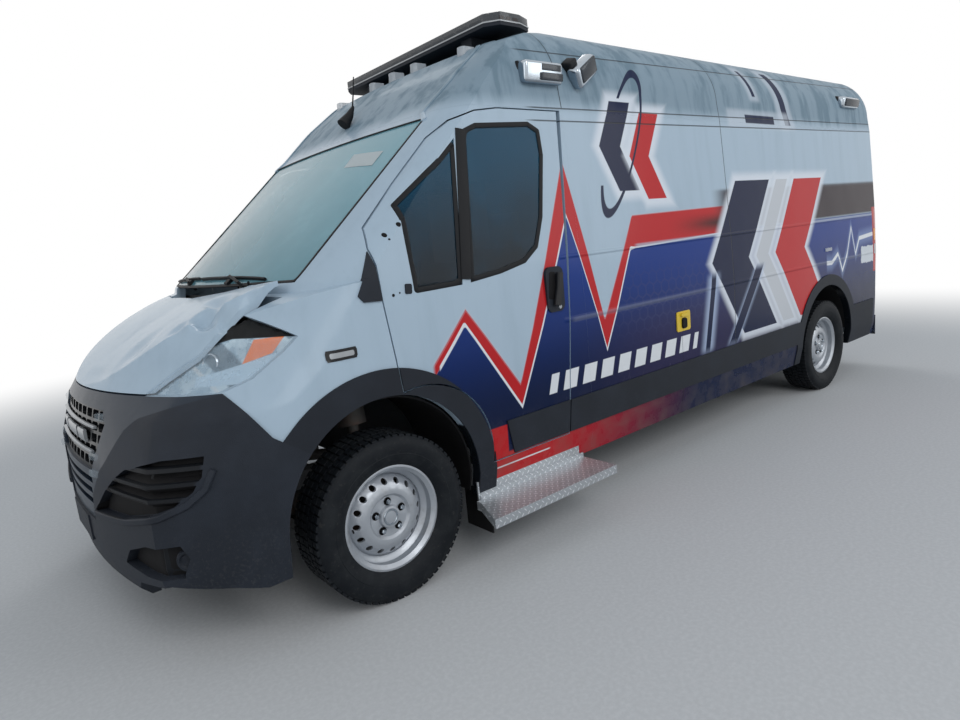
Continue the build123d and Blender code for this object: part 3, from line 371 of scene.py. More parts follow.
class SidePaint:
    """The coats of the bodywork, laid one over another."""

    def __init__(self, look):
        self.look = look
        self.f = f = Finish("body_paint")
        self.x, self.y, self.z = f.place()
        nx, ny = f.facing()[:2]
        self.side = (ny * self.y.calc("SIGN", self.y)).step(0.25, 0.45)
        self.rear = (-nx).step(0.4, 0.6) * self.x.step(-2.88, -2.92)
        self.wall = self.side.most(self.rear)
        self.color = None

    def coat(self, share, tint):
        """Lays a tint over what is there."""
        self.color = self.f.mix(share, self.color, tint)

    def base(self):
        """White with streaks and spots of dirt, grey-blue above the gutter; keeps how grey each
        place is for the roughness.
        """
        f, z, grime = self.f, self.z, self.look.grime
        streaks = f.noise(5.0, 5.0, 0.6, f.stretched(2.2, 2.2, 0.22)).step(0.42, 0.78)
        spots = f.noise(38.0, 4.0, 0.7).step(0.62, 0.8)
        # The side above the gutter is made grey-blue
        high = z.step(2.02, 2.12)
        self.dirt = (streaks * (0.2 + high * 0.7) + spots * 0.2 + high * 1.15) * grime
        self.low_dust = z.step(0.75, 0.35) * f.noise(9.0, 4.0).step(0.35, 0.75) * grime
        self.color = f.mix((self.dirt * 0.5).least(0.8), self.look.paint, (0.095, 0.165, 0.215))

    def field(self, foot_line):
        """Blue below the stripe, darker low down, with faint hexagons in its middle."""
        f, x, z = self.f, self.x, self.z
        tint = f.mix(z.step(0.66, 1.36), self.look.navy, self.look.blue)
        purple = x.between(-1.9, 0.6, 0.5) * z.between(0.55, 0.98, 0.15)
        tint = f.mix(purple * 0.55, tint, (0.035, 0.026, 0.085))
        edges = hexagon_edges(x * HEXAGONS, z * HEXAGONS).step(0.40, 0.47)
        area = x.between(-0.35, 0.55, 0.25) * z.between(0.9, 1.2, 0.12)
        tint = f.mix(edges * area * 0.35, tint, (0.05, 0.06, 0.16))
        self.coat(self.wall * (foot_line - z).step(-0.004, 0.004) * x.step(1.80, 1.78), tint)

    def stripe(self, top_line, foot_line):
        """The red stripe with its pale edges, the dark band that goes on behind it, and painted
        highlights along the two pressed grooves.
        """
        x, z, wall = self.x, self.z, self.wall
        stretch = 1.0 + x.step(0.38, 0.43) * 1.35
        band = (z - foot_line).step(-0.003, 0.003) * (top_line - z).step(-0.003, 0.003)
        dusk = z.between(1.40, 1.47, 0.04) * x.step(0.1, -0.5)
        tint = self.f.mix(dusk, self.look.red, (0.05, 0.012, 0.012))
        self.coat(wall * band * x.between(-0.60, 1.79, 0.01), tint)
        pin = (abs(z - foot_line) / stretch).step(0.0055, 0.003)
        self.coat(wall * pin * x.between(-0.60, 1.76, 0.005), (0.75, 0.78, 0.82))
        edge = (abs(z - top_line) / stretch).step(0.006, 0.003)
        self.coat(wall * edge * x.between(-0.60, 1.79, 0.005) * 0.25, (0.62, 0.55, 0.60))
        dark = z.between(1.38, 1.63, 0.012) * z.step(1.70, 1.60) * x.step(-0.40, -0.62)
        self.coat(wall * dark, (0.030, 0.020, 0.026))
        # Painted highlights: pale lines where light catches the two pressed grooves
        shine = z.between(1.352, 1.368, 0.006) * x.step(0.40, 0.35)
        self.coat(wall * shine * 0.7, (0.42, 0.48, 0.58))
        shine = z.between(1.030, 1.050, 0.008) * x.step(0.95, 0.90)
        self.coat(wall * shine * 0.35, (0.30, 0.33, 0.42))

    def arrow_heads(self):
        """Two sets of arrow heads with a pale glow, and the ring round the small set."""
        x, z, wall, look = self.x, self.z, self.wall, self.look
        tints = {"navy": look.navy, "red": look.red, "pale": (0.55, 0.58, 0.62)}
        for tint, *form in ARROW_HEADS:
            distance = chevron(x, z, *form)
            self.coat(wall * distance.step(0.075, 0.012) * 0.9, (0.72, 0.77, 0.84))
            self.coat(wall * distance.step(0.002, -0.002), tints[tint])
        u = (x - RING_X + (z - RING_Z) * RING_LEAN) / RING_REACH[0]
        v = (z - RING_Z) / RING_REACH[1]
        ring = abs((u * u + v * v) ** 0.5 - 1.0)
        open_side = u.step(-0.05, 0.0) * abs(v).step(0.62, 0.60)
        self.coat(wall * ring.step(0.075, 0.055) * (1 - open_side), look.navy)

    def strokes(self):
        """Blue strokes high on the side, each in a pale glow."""
        for place, lean, width, low, top in STROKES:
            away = abs(self.x - place - (self.z - STROKE_HEIGHT) * lean)
            glow = self.z.between(low - 0.03, top + 0.03, 0.02)
            self.coat(self.side * (away - width).step(0.06, 0.0) * glow * 0.55, (0.60, 0.66, 0.74))
            area = self.z.between(low, top, 0.004)
            self.coat(self.side * (away - width / 2).step(0.004, 0.0) * area, self.look.navy)

    def low_marks(self):
        """Blank blocks, a heartbeat line, two bars, a blank sticker, the coloured sill, and a
        painted highlight along the sill.
        """
        f, x, z, side, look = self.f, self.x, self.z, self.side, self.look
        along = x + z * BLOCK_LEAN
        blocks = (along % BLOCK_PITCH).between(0.012, 0.108, 0.002)
        area = z.between(0.705, 0.80, 0.002) * along.between(0.066, 1.344, 0.002)
        self.coat(side * blocks * area, MARK_WHITE)
        trace_line, = broken_lines(f, x, TRACE)
        area = side * x.between(-2.88, -1.96, 0.01)
        gap = abs(z - trace_line)
        self.coat(area * gap.step(0.09, 0.02) * 0.35, (0.30, 0.42, 0.70))
        self.coat(area * gap.step(0.020, 0.012), MARK_WHITE)
        run = z.between(0.66, 1.12, 0.03)
        for start, slope, width in BARS:
            away = abs(x - start + (z - BAR_HEIGHT) * slope)
            self.coat(side * away.step(0.10, 0.02) * run * 0.8, (0.45, 0.55, 0.75))
            self.coat(side * (away - width).step(0.006, 0.0) * run, look.navy)
        torn = f.noise(30.0, 2.0) * 0.03
        sticker = (x + torn).between(-2.86, -2.60, 0.004) * (z + torn).between(0.985, 1.12, 0.004)
        self.coat(side * sticker, (0.60, 0.65, 0.70))
        sill = z.step(0.505, 0.495).most(x.step(1.415, 1.42) * z.step(0.634, 0.628))
        tint = f.mix(x.step(-0.2, 1.3), look.navy, look.red)
        self.coat(side * sill * x.step(1.60, 1.55), tint)
        # Painted highlight: a thin pale line along the sill behind the front wheel
        line = z.between(0.436, 0.443, 0.002) * x.between(1.15, 1.515, 0.01)
        self.coat(side * line, (0.75, 0.77, 0.80))

    def seams(self):
        """Dark joints between panels: two upright ones and three along the upper side."""
        x, y, z = self.x, self.y, self.z
        seams = abs(x - CAB_SEAM).step(0.0035, 0.002) * x.step(0.5, 0.8) * z.step(2.05, 2.06)
        behind = abs(x - DOOR_SEAM).step(0.0035, 0.002) * y.step(-0.9, -0.85) * z.step(0.64, 0.65)
        seams = seams.most(behind)
        area = abs(y).step(0.76, 0.78) * x.step(1.1, 1.0) * (1 - self.rear)
        for level, slope in LEVEL_SEAMS:
            seams = seams.most(abs(z - level - x * slope).step(0.0040, 0.0022) * area)
        self.coat(seams * 0.8, (0.03, 0.035, 0.04))
        return seams

    def arches(self):
        """The dark edges of the wheel arches."""
        away = self.x - (self.x.step(-0.01, 0.01) * (FRONT_AXLE - REAR_AXLE) + REAR_AXLE)
        up = self.z - AXLE_HEIGHT
        reach = (away * away + up * up) ** 0.5
        self.coat(reach.step(ARCH_EDGE + 0.002, ARCH_EDGE), (0.006, 0.008, 0.011))

    def relief(self, seams):
        """Pressed grooves along the side, the seams, and a slight ripple in the sheet."""
        f, x, z = self.f, self.x, self.z
        groove = abs(z - LOW_GROOVE).step(0.016, 0.002) + abs(z - HIGH_GROOVE).step(0.014, 0.002)
        shaped = f.bump(groove * self.side * x.step(1.0, 0.95), 0.005)
        shaped = f.bump(-seams, 0.003, 1.0, shaped)
        return f.bump(f.noise(2.2, 2.0), 0.012, 0.5, shaped)


def body_paint(look):
    """White bodywork with the red and blue side graphics, streaked with dirt."""
    paint = SidePaint(look)
    lines = broken_lines(paint.f, paint.x, STRIPE_TOP, STRIPE_FOOT)
    paint.base()
    paint.field(lines[1])
    paint.stripe(*lines)
    paint.arrow_heads()
    paint.strokes()
    paint.low_marks()
    paint.coat((paint.low_dust * 0.35).least(0.5), (0.16, 0.14, 0.12))
    seams = paint.seams()
    paint.arches()
    return paint.f.done(
        color=paint.color, roughness=0.22 + paint.dirt * 0.25 + paint.low_dust * 0.35,
        normal=paint.relief(seams), specular=0.12, coat=0.06, coat_roughness=0.08)


def grained_plastic(name, tint, look, grain=420.0, recesses=()):
    """Moulded plastic with a fine grain, dusty low down, with painted shade inside its recesses."""
    f = Finish(name)
    y, z = f.place()[1:]
    cloud = f.noise(5.0, 5.0, 0.6)
    specks = f.noise(90.0, 3.0)
    worn = tuple(c * 1.8 + 0.004 for c in tint)
    color = f.mix(cloud.step(0.35, 0.75) * 0.5 * look.grime, tint, worn)
    dust = z.step(0.7, 0.3) * specks.step(0.5, 0.75) * look.grime
    color = f.mix((dust * 0.16).least(0.4), color, (0.13, 0.125, 0.12))
    height = f.cells(grain) + f.noise(grain / 3, 2.0) * 0.6
    if recesses:
        # Painted shade: near black inside each recess outline, seen from the front
        recess_shade_tint = f.mix(0.75, color, (0.001, 0.0015, 0.002))
        for outline in recesses:
            color = f.mix(inside(abs(y), z, outline[::-1], 0.004), color, recess_shade_tint)
    return f.done(color=color, roughness=0.50 + cloud * 0.2, specular=0.22,
                  normal=f.bump(height, 0.0006, 0.5))


def smooth_coat(name, tint, roughness, metallic, coat, wear, amount):
    """Paint, gloss plastic or metal with cloudy wear."""
    f = Finish(name)
    cloud = f.noise(14.0, 5.0, 0.65)
    fine = f.noise(160.0, 2.0)
    color = f.mix(cloud.step(0.5, 0.8) * amount, tint, wear)
    shine = 0.5 if metallic or max(tint) > 0.1 else 0.22
    return f.done(color=color, roughness=cloud * 0.18 + roughness, metallic=metallic, coat=coat,
                  specular=shine, normal=f.bump(fine, 0.0006, 0.35))


def tinted_glass(name, tint, high, alpha, specular):
    """Window glass, dark at its foot and paler towards its top with a painted reflection of the
    sky, and a dusty film.
    """
    f = Finish(name)
    z = f.place()[2]
    film = f.noise(3.0, 4.0, 0.6)
    # Painted reflection of the sky: the tint turns paler towards the top
    sky_reflection = (z + film * 0.3).step(1.45, 2.05)
    color = f.mix(sky_reflection, tint, high)
    color = f.mix(film.step(0.5, 0.85) * 0.3, color, tuple(c * 1.4 + 0.01 for c in high))
    return f.done(color=color, roughness=film * 0.05 + 0.02, alpha=film * 0.06 + alpha,
                  specular=specular, normal=f.bump(f.noise(1.6, 1.0), 0.002, 0.5))


def tyre_rubber(name):
    """Worn rubber with dried mud on its walls."""
    f = Finish(name)
    cloud = f.noise(11.0, 5.0, 0.65)
    dust = f.noise(55.0, 4.0)
    color = f.mix(cloud.step(0.4, 0.75) * 0.75, (0.004, 0.006, 0.009), (0.018, 0.021, 0.024))
    color = f.mix(dust.step(0.58, 0.72) * 0.25, color, (0.06, 0.058, 0.054))
    return f.done(color=color, roughness=cloud * 0.2 + 0.55, specular=0.2,
                  normal=f.bump(dust + cloud, 0.0015, 0.6))


def rusty_metal(name, tint, rust=0.5):
    """Underbody steel or iron with patches of rust."""
    f = Finish(name)
    patches = f.noise(7.0, 6.0, 0.65)
    grit = f.noise(70.0, 4.0, 0.7)
    color = f.mix(patches.step(0.42, 0.68) * rust, tint, (0.13, 0.055, 0.028))
    color = f.mix(grit.step(0.5, 0.75) * 0.35, color, (0.05, 0.04, 0.034))
    return f.done(color=color, roughness=patches * 0.3 + 0.5, metallic=0.35,
                  normal=f.bump(grit + patches, 0.002, 0.6))


# How close the threads of the seat cloth lie, as the rate of a sine
THREADS = 900.0


def woven(name, tint):
    """Seat cloth with a plain weave."""
    f = Finish(name)
    x, y, z = f.place()
    warp, weft = (x + z) * THREADS, y * THREADS
    weave = warp.calc("SINE", warp) * weft.calc("SINE", weft)
    cloud = f.noise(9.0, 4.0)
    color = f.mix(weave * 0.25 + 0.5, tint, tuple(c * 1.6 for c in tint))
    color = f.mix(cloud.step(0.5, 0.8) * 0.3, color, tuple(c * 0.6 for c in tint))
    return f.done(color=color, roughness=0.85, sheen=0.3, normal=f.bump(weave, 0.0006, 0.5))


def inside(u, v, corners, soft):
    """1 inside a convex outline of (u, v) corners, taken anticlockwise."""
    share = 1.0
    for (u0, v0), (u1, v1) in zip(corners, corners[1:] + corners[:1]):
        du, dv = u1 - u0, v1 - v0
        reach = sqrt(du * du + dv * dv)
        share = ((v - v0) * (du / reach) - (u - u0) * (dv / reach)).step(-soft, soft) * share
    return share


# The headlamp's amber part, its lower clear strip and its top edge, as (x, height) points
AMBER_CORNERS = [(2.410, 1.141), (2.507, 1.113), (2.445, 1.192), (2.355, 1.196)]
STRIP_CORNERS = [(2.39, 1.13), (2.50, 1.05), (2.66, 1.05), (2.64, 1.080), (2.40, 1.140)]
LAMP_TOP = [(2.332, 1.192), (2.497, 1.200), (2.670, 1.156), (2.767, 1.104), (2.836, 1.032)]


def lamp_bowl(name):
    """Bright reflectors behind a headlamp's cover, with an amber part at the outer corner and
    painted shade over the left lamp's top edge.
    """
    f = Finish(name)
    x, y, z = f.place()
    cloud = f.noise(16.0, 4.0)
    color = f.mix(cloud.step(0.35, 0.7), (0.26, 0.37, 0.46), (0.48, 0.60, 0.68))
    dark = (x - z * 0.35).between(2.115, 2.205, 0.006)
    color = f.mix(dark * 0.75, color, (0.03, 0.06, 0.09))
    rib = (x - z * 0.35).between(2.238, 2.252, 0.004)
    color = f.mix(rib * 0.8, color, (0.55, 0.60, 0.63))
    amber = inside(x, z, AMBER_CORNERS, 0.0015)
    strip = inside(x, z, STRIP_CORNERS, 0.002)
    color = f.mix(strip, color, (0.42, 0.56, 0.68))
    color = f.mix(amber, color, (0.95, 0.20, 0.004))
    # Painted shade: near black over the left lamp's top edge, in the gap under the sprung bonnet
    lit = clear_of_gap_shade(f, x, y, z)
    color = f.mix(lit, (0.004, 0.005, 0.006), color)
    flutes = ((x + z * 0.4) % 0.035).step(0.0, 0.035)
    return f.done(color=color, roughness=cloud * 0.15 + 0.20 + (1 - lit) * 0.5,
                  metallic=(1 - amber) * lit * 0.5, specular=0.3,
                  normal=f.bump(flutes, 0.0015, 0.4))


def clear_of_gap_shade(f, x, y, z):
    """0 over the left lamp's top edge, where painted shade stands for the gap that the sprung
    bonnet leaves.
    """
    edge, = broken_lines(f, x, LAMP_TOP)
    return 1 - (z - edge).step(-0.002, 0.002) * y.step(0.0, 0.01)


def lamp_lens(name, tint, alpha, ribs=1.0, gapped=False):
    """Ribbed clear or coloured lamp plastic."""
    f = Finish(name)
    x, y, z = f.place()
    ribs = ((x + y) % 0.018).step(0.0, 0.018) * ribs
    haze = f.noise(20.0, 4.0)
    color = f.mix(haze.step(0.4, 0.8) * 0.3, tint, tuple(min(1.0, c * 1.3 + 0.05) for c in tint))
    share = haze * 0.1 + alpha
    # Where gapped, the cover turns clear over the painted shade of the bonnet's gap
    if gapped:
        share = share * clear_of_gap_shade(f, x, y, z)
    return f.done(color=color, roughness=haze * 0.12 + 0.06, alpha=share, specular=0.3,
                  normal=f.bump(ribs, 0.0015, 0.5), coat=0.1)


def tread_metal(name):
    """Worn aluminium with raised lozenges, laid by the way each face looks."""
    f = Finish(name)
    x, y, z = f.place()
    across = f.mix(abs(f.facing()[2]).step(0.5, 0.6), f.vector(0, z, 0), f.vector(0, y, 0))
    v = Term(f, f.node("ShaderNodeSeparateXYZ", None, {0: across}).outputs[1])
    shapes = None
    for shift, lean in ((0.0, 1.0), (0.5, -1.0)):
        a = (x / 0.036 + shift) % 1.0 - 0.5
        b = (v / 0.036 + shift) % 1.0 - 0.5
        along, wide = (a + b * lean) * 0.707, (a - b * lean) * 0.707
        bar = (along * along / 0.085 + wide * wide / 0.0065).step(1.2, 0.55)
        shapes = bar if shapes is None else shapes.most(bar)
    cloud = f.noise(7.0, 5.0, 0.65)
    color = f.mix(shapes, (0.44, 0.47, 0.50), (0.80, 0.83, 0.86))
    color = f.mix(cloud.step(0.52, 0.75) * 0.45, color, (0.20, 0.19, 0.18))
    return f.done(color=color, roughness=cloud * 0.25 + 0.28, metallic=0.6,
                  normal=f.bump(shapes, 0.003))


def make_finishes(look):
    """Every material of the van by name."""
    dark = tuple(look.plastic)
    return {
        "paint": body_paint(look),
        "plastic": grained_plastic("bumper_plastic", dark, look, 420.0, (SCOOP, FOG)),
        "trim": grained_plastic("moulding_plastic", tuple(c * 0.85 for c in dark), look),
        "inside": grained_plastic("cabin_plastic", (0.055, 0.057, 0.06), look, 350.0),
        "windscreen": tinted_glass(
            "windscreen_glass", (0.17, 0.40, 0.48), (0.26, 0.56, 0.66), 0.58, 0.4),
        "glass": tinted_glass(
            "window_glass", (0.002, 0.011, 0.020), (0.003, 0.070, 0.135), 0.76, 0.15),
        "tyre": tyre_rubber("tyre_rubber"),
        "wheel": smooth_coat(
            "wheel_paint", (0.42, 0.45, 0.49), 0.30, 0.5, 0.2, (0.20, 0.19, 0.18), 0.4),
        "iron": rusty_metal("suspension_iron", (0.06, 0.058, 0.055)),
        "chassis": rusty_metal("chassis_steel", (0.035, 0.035, 0.036), 0.35),
        "exhaust": rusty_metal("exhaust_steel", (0.16, 0.15, 0.14), 0.6),
        "tread": tread_metal("tread_plate"),
        "bright": smooth_coat(
            "bright_steel", (0.40, 0.45, 0.50), 0.10, 1.0, 0.0, (0.22, 0.23, 0.24), 0.4),
        "clear": lamp_lens("clear_lens", (0.62, 0.66, 0.70), 0.55),
        "amber": lamp_lens("amber_lens", (0.75, 0.26, 0.02), 0.9),
        "red_lens": lamp_lens("red_lens", (0.42, 0.012, 0.012), 0.95),
        "yellow": smooth_coat(
            "yellow_plastic", (0.72, 0.50, 0.02), 0.35, 0.0, 0.2, (0.30, 0.22, 0.05), 0.3),
        "cloth": woven("seat_cloth", (0.05, 0.052, 0.058)),
        "laminate": smooth_coat(
            "cabinet_laminate", (0.60, 0.60, 0.58), 0.35, 0.0, 0.1, (0.4, 0.4, 0.38), 0.3),
        "floor": smooth_coat(
            "load_floor", (0.14, 0.145, 0.15), 0.45, 0.0, 0.0, (0.07, 0.07, 0.07), 0.5),
        "black": smooth_coat(
            "gloss_black", (0.006, 0.007, 0.009), 0.25, 0.0, 0.15, (0.025, 0.027, 0.03), 0.4),
        "satin": smooth_coat(
            "satin_grey", (0.010, 0.019, 0.034), 0.30, 0.0, 0.15, (0.030, 0.040, 0.050), 0.4),
        "rubber": smooth_coat(
            "seal_rubber", (0.004, 0.005, 0.007), 0.50, 0.0, 0.0, (0.014, 0.015, 0.017), 0.4),
        "badge": smooth_coat(
            "blank_badge", (0.30, 0.32, 0.34), 0.25, 0.8, 0.1, (0.18, 0.18, 0.18), 0.3),
        "film": smooth_coat(
            "blank_film", (0.46, 0.52, 0.54), 0.5, 0.0, 0.0, (0.36, 0.42, 0.44), 0.5),
        # Painted shade, laid in holes, pockets, slots and recesses
        "shadow": smooth_coat(
            "painted_shade", (0.004, 0.004, 0.005), 0.7, 0.0, 0.0, (0.012, 0.012, 0.012), 0.4),
        "bowl": lamp_bowl("headlamp_bowl"),
        "cover": lamp_lens("headlamp_cover", (0.50, 0.60, 0.68), 0.10, 0.0, True),
        "smoke": lamp_lens("smoked_cover", (0.018, 0.026, 0.036), 0.78, 0.0),
        "wheel_well": smooth_coat(
            "well_shade", (0.008, 0.008, 0.009), 0.6, 0.0, 0.0, (0.02, 0.02, 0.02), 0.4),
    }


FINISH = {}


# Mesh building

def shade(mesh, angle):
    """Smooth shading, with sharp edges where faces meet at more than an angle in degrees."""
    mesh.shade_smooth()
    mesh.set_sharp_from_angle(angle=radians(angle))


def mesh_from(work, name):
    """Closes a bmesh as a new mesh."""
    mesh = bpy.data.meshes.new(name)
    work.to_mesh(mesh)
    work.free()
    return mesh


def new_piece(name, verts, faces, material, body=None, smooth=None):
    """A mesh piece with its place in its points."""
    mesh = bpy.data.meshes.new(name)
    mesh.from_pydata([tuple(v) for v in verts], [], faces)
    mesh.validate()
    mesh.update()
    return as_piece(name, mesh, material, body, smooth)


def as_piece(name, mesh, material, body=None, smooth=None):
    """Links a mesh as a finished piece that rides on a body."""
    mesh.materials.clear()
    mesh.materials.append(material)
    if smooth is not None:
        shade(mesh, smooth)
    piece = bpy.data.objects.new(name, mesh)
    bpy.context.scene.collection.objects.link(piece)
    if body:
        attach(piece, body)
    return piece


def bake_modifiers(piece):
    """Turns a piece's modifiers into its mesh."""
    bpy.context.view_layer.update()
    depsgraph = bpy.context.evaluated_depsgraph_get()
    mesh = bpy.data.meshes.new_from_object(piece.evaluated_get(depsgraph))
    piece.modifiers.clear()
    old = piece.data
    piece.data = mesh
    bpy.data.meshes.remove(old)
    return piece


def merged_copy(node, reach=0.00002):
    """A copy of a solid's mesh with its loose triangles joined."""
    mesh = NODES[node].data.copy()
    for attribute in [a.name for a in mesh.attributes if a.name.startswith("custom_normal")]:
        mesh.attributes.remove(mesh.attributes[attribute])
    work = bmesh.new()
    work.from_mesh(mesh)
    bmesh.ops.remove_doubles(work, verts=work.verts, dist=reach)
    bmesh.ops.dissolve_limit(work, angle_limit=radians(0.4), verts=work.verts, edges=work.edges)
    bmesh.ops.triangulate(work, faces=work.faces)
    work.to_mesh(mesh)
    work.free()
    return mesh


def skin(node, material, angle=28, bevel=0.0):
    """A smooth-shaded skin in place of a solid, with its edges softened."""
    piece = as_piece(node + "_skin", merged_copy(node), material, None, angle)
    if bevel:
        cut = piece.modifiers.new("edges", "BEVEL")
        cut.width = bevel
        cut.segments = 2
        cut.limit_method = "ANGLE"
        cut.angle_limit = radians(50)
        cut.harden_normals = False
        bake_modifiers(piece)
        shade(piece.data, angle)
    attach(piece, body_of(node))
    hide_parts(node)
    return piece


def paint_node(node, material):
    """Gives a solid of the model its finish."""
    data = NODES[node].data
    data.materials.clear()
    data.materials.append(material)


def lathe(name, profile, centre, material, body, turns=96, smooth=35, closed=False):
    """A shape turned about a line along Y; profile holds (radius, y) pairs."""
    verts, faces = [], []
    count = len(profile)
    for i in range(turns):
        a = 2 * pi * i / turns
        for radius, y in profile:
            verts.append((centre[0] + radius * sin(a), centre[1] + y, centre[2] + radius * cos(a)))
    for i in range(turns):
        j = (i + 1) % turns
        for k in range(count if closed else count - 1):
            m = (k + 1) % count
            faces.append((i * count + k, i * count + m, j * count + m, j * count + k))
    piece = new_piece(name, verts, faces, material, None, None)
    fix_normals(piece)
    shade(piece.data, smooth)
    if body:
        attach(piece, body)
    return piece


def fix_normals(piece):
    """Joins doubles and turns every face outwards."""
    work = bmesh.new()
    work.from_mesh(piece.data)
    bmesh.ops.remove_doubles(work, verts=work.verts, dist=0.00001)
    bmesh.ops.recalc_face_normals(work, faces=work.faces)
    work.to_mesh(piece.data)
    work.free()


# Repeats

def repeat_tree(material):
    """A node tree that repeats its mesh with a turn and a shift from copy to copy."""
    tree = bpy.data.node_groups.new("repeat", "GeometryNodeTree")
    face = tree.interface
    face.new_socket("Geometry", in_out="INPUT", socket_type="NodeSocketGeometry")
    count = face.new_socket("Count", in_out="INPUT", socket_type="NodeSocketInt")
    turn = face.new_socket("Turn", in_out="INPUT", socket_type="NodeSocketVector")
    shift = face.new_socket("Shift", in_out="INPUT", socket_type="NodeSocketVector")
    face.new_socket("Geometry", in_out="OUTPUT", socket_type="NodeSocketGeometry")
    nodes, links = tree.nodes, tree.links
    start = nodes.new("NodeGroupInput")
    end = nodes.new("NodeGroupOutput")
    points = nodes.new("GeometryNodePoints")
    index = nodes.new("GeometryNodeInputIndex")
    turned = nodes.new("ShaderNodeVectorMath")
    turned.operation = "SCALE"
    shifted = nodes.new("ShaderNodeVectorMath")
    shifted.operation = "SCALE"
    copies = nodes.new("GeometryNodeInstanceOnPoints")
    real = nodes.new("GeometryNodeRealizeInstances")
    coat = nodes.new("GeometryNodeSetMaterial")
    coat.inputs["Material"].default_value = material
    links.new(start.outputs["Count"], points.inputs["Count"])
    links.new(start.outputs["Shift"], shifted.inputs[0])
    links.new(index.outputs[0], shifted.inputs["Scale"])
    links.new(shifted.outputs[0], points.inputs["Position"])
    links.new(start.outputs["Turn"], turned.inputs[0])
    links.new(index.outputs[0], turned.inputs["Scale"])
    links.new(points.outputs[0], copies.inputs["Points"])
    links.new(start.outputs["Geometry"], copies.inputs["Instance"])
    links.new(turned.outputs[0], copies.inputs["Rotation"])
    links.new(copies.outputs[0], real.inputs[0])
    links.new(real.outputs[0], coat.inputs[0])
    links.new(coat.outputs[0], end.inputs[0])
    return tree, count.identifier, turn.identifier, shift.identifier


def repeated(piece, count, turn=(0, 0, 0), shift=(0, 0, 0)):
    """Repeats a piece's mesh about the origin and keeps the result as its mesh."""
    tree, count_id, turn_id, shift_id = repeat_tree(piece.data.materials[0])
    modifier = piece.modifiers.new("repeat", "NODES")
    modifier.node_group = tree
    modifier[count_id] = count
    modifier[turn_id] = turn
    modifier[shift_id] = shift
    return bake_modifiers(piece)


def moved(piece, offset):
    """Moves a piece's points."""
    piece.data.transform(Matrix.Translation(offset))
    return piece


def aimed(piece, facing, place):
    """Turns a piece's Y axis to a way that it faces, and moves it to a place over the datum."""
    turn = Vector(facing).normalized().to_track_quat("Y", "Z").to_matrix().to_4x4()
    piece.data.transform(turn)
    return moved(piece, placed(place))


def joined(name, pieces):
    """One piece from several that share a finish."""
    work = bmesh.new()
    for piece in pieces:
        work.from_mesh(piece.data)
    mesh = mesh_from(work, name)
    material = pieces[0].data.materials[0]
    for piece in pieces:
        bpy.data.objects.remove(piece)
    return as_piece(name, mesh, material)


def block(name, centre, size, material, round_off=0.004, turn=None):
    """A block with rounded edges."""
    work = bmesh.new()
    bmesh.ops.create_cube(work, size=1.0)
    bmesh.ops.scale(work, vec=size, verts=work.verts)
    if round_off:
        bmesh.ops.bevel(work, geom=work.edges[:], offset=round_off, segments=3, affect="EDGES",
                        profile=0.5)
    mesh = mesh_from(work, name)
    if turn is not None:
        mesh.transform(turn)
    mesh.transform(Matrix.Translation(centre))
    return as_piece(name, mesh, material, None, 40)


# Pieces laid on the body

# How far a strip reaches below the surface that it lies on
STRIP_SINK = 0.002


def surface_of(*nodes):
    """A tree for casting rays on some nodes of the solid model."""
    verts, faces = [], []
    for node in nodes:
        mesh = NODES[node].data
        start = len(verts)
        verts += [vertex.co.copy() for vertex in mesh.vertices]
        faces += [[start + index for index in face.vertices] for face in mesh.polygons]
    return BVHTree.FromPolygons(verts, faces)


def on_side(tree, x, z, side):
    """The point and normal of a surface seen square from the side."""
    where, normal = tree.ray_cast(Vector((x, side * 2.0, z - DATUM)), Vector((0, -side, 0)))[:2]
    if where is None:
        raise RuntimeError(f"nothing lies at x {x}, z {z} on side {side}")
    if normal.y * side < 0:
        normal = -normal
    return where, normal


def evenly(points, gap, closed=False):
    """Points every so far along a broken line."""
    points = [Vector(point) for point in points]
    runs = list(zip(points, points[1:] + points[:1])) if closed else list(zip(points, points[1:]))
    result = []
    for start, end in runs:
        count = max(1, round((end - start).length / gap))
        result += [start.lerp(end, step / count) for step in range(count)]
    if not closed:
        result.append(points[-1])
    return result


def ribbon(name, track, width, height, material, body, closed=False):
    """A low rounded strip along a track of (point, normal) pairs."""
    shape = [(-0.5, -STRIP_SINK), (-0.5, height * 0.6), (-0.36, height), (0.36, height),
             (0.5, height * 0.6), (0.5, -STRIP_SINK)]
    count = len(track)
    verts, faces = [], []
    for i, (point, normal) in enumerate(track):
        before = track[i - 1][0] if closed or i else point
        after = track[(i + 1) % count][0] if closed or i < count - 1 else point
        across = (after - before).cross(normal).normalized()
        verts += [point + across * (u * width) + normal * v for u, v in shape]
    k = len(shape)
    for i in range(count if closed else count - 1):
        j = (i + 1) % count
        for m in range(k):
            n = (m + 1) % k
            faces.append((i * k + m, i * k + n, j * k + n, j * k + m))
    if not closed:
        faces += [tuple(range(k)), tuple(range((count - 1) * k, count * k))]
    piece = new_piece(name, verts, faces, material)
    fix_normals(piece)
    shade(piece.data, 50)
    if body:
        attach(piece, body)
    return piece


def side_track(tree, points, side, gap):
    """A track on the body's side through (x, z) points."""
    flat = evenly([(x, 0, z) for x, z in points], gap)
    return [on_side(tree, point.x, point.z, side) for point in flat]


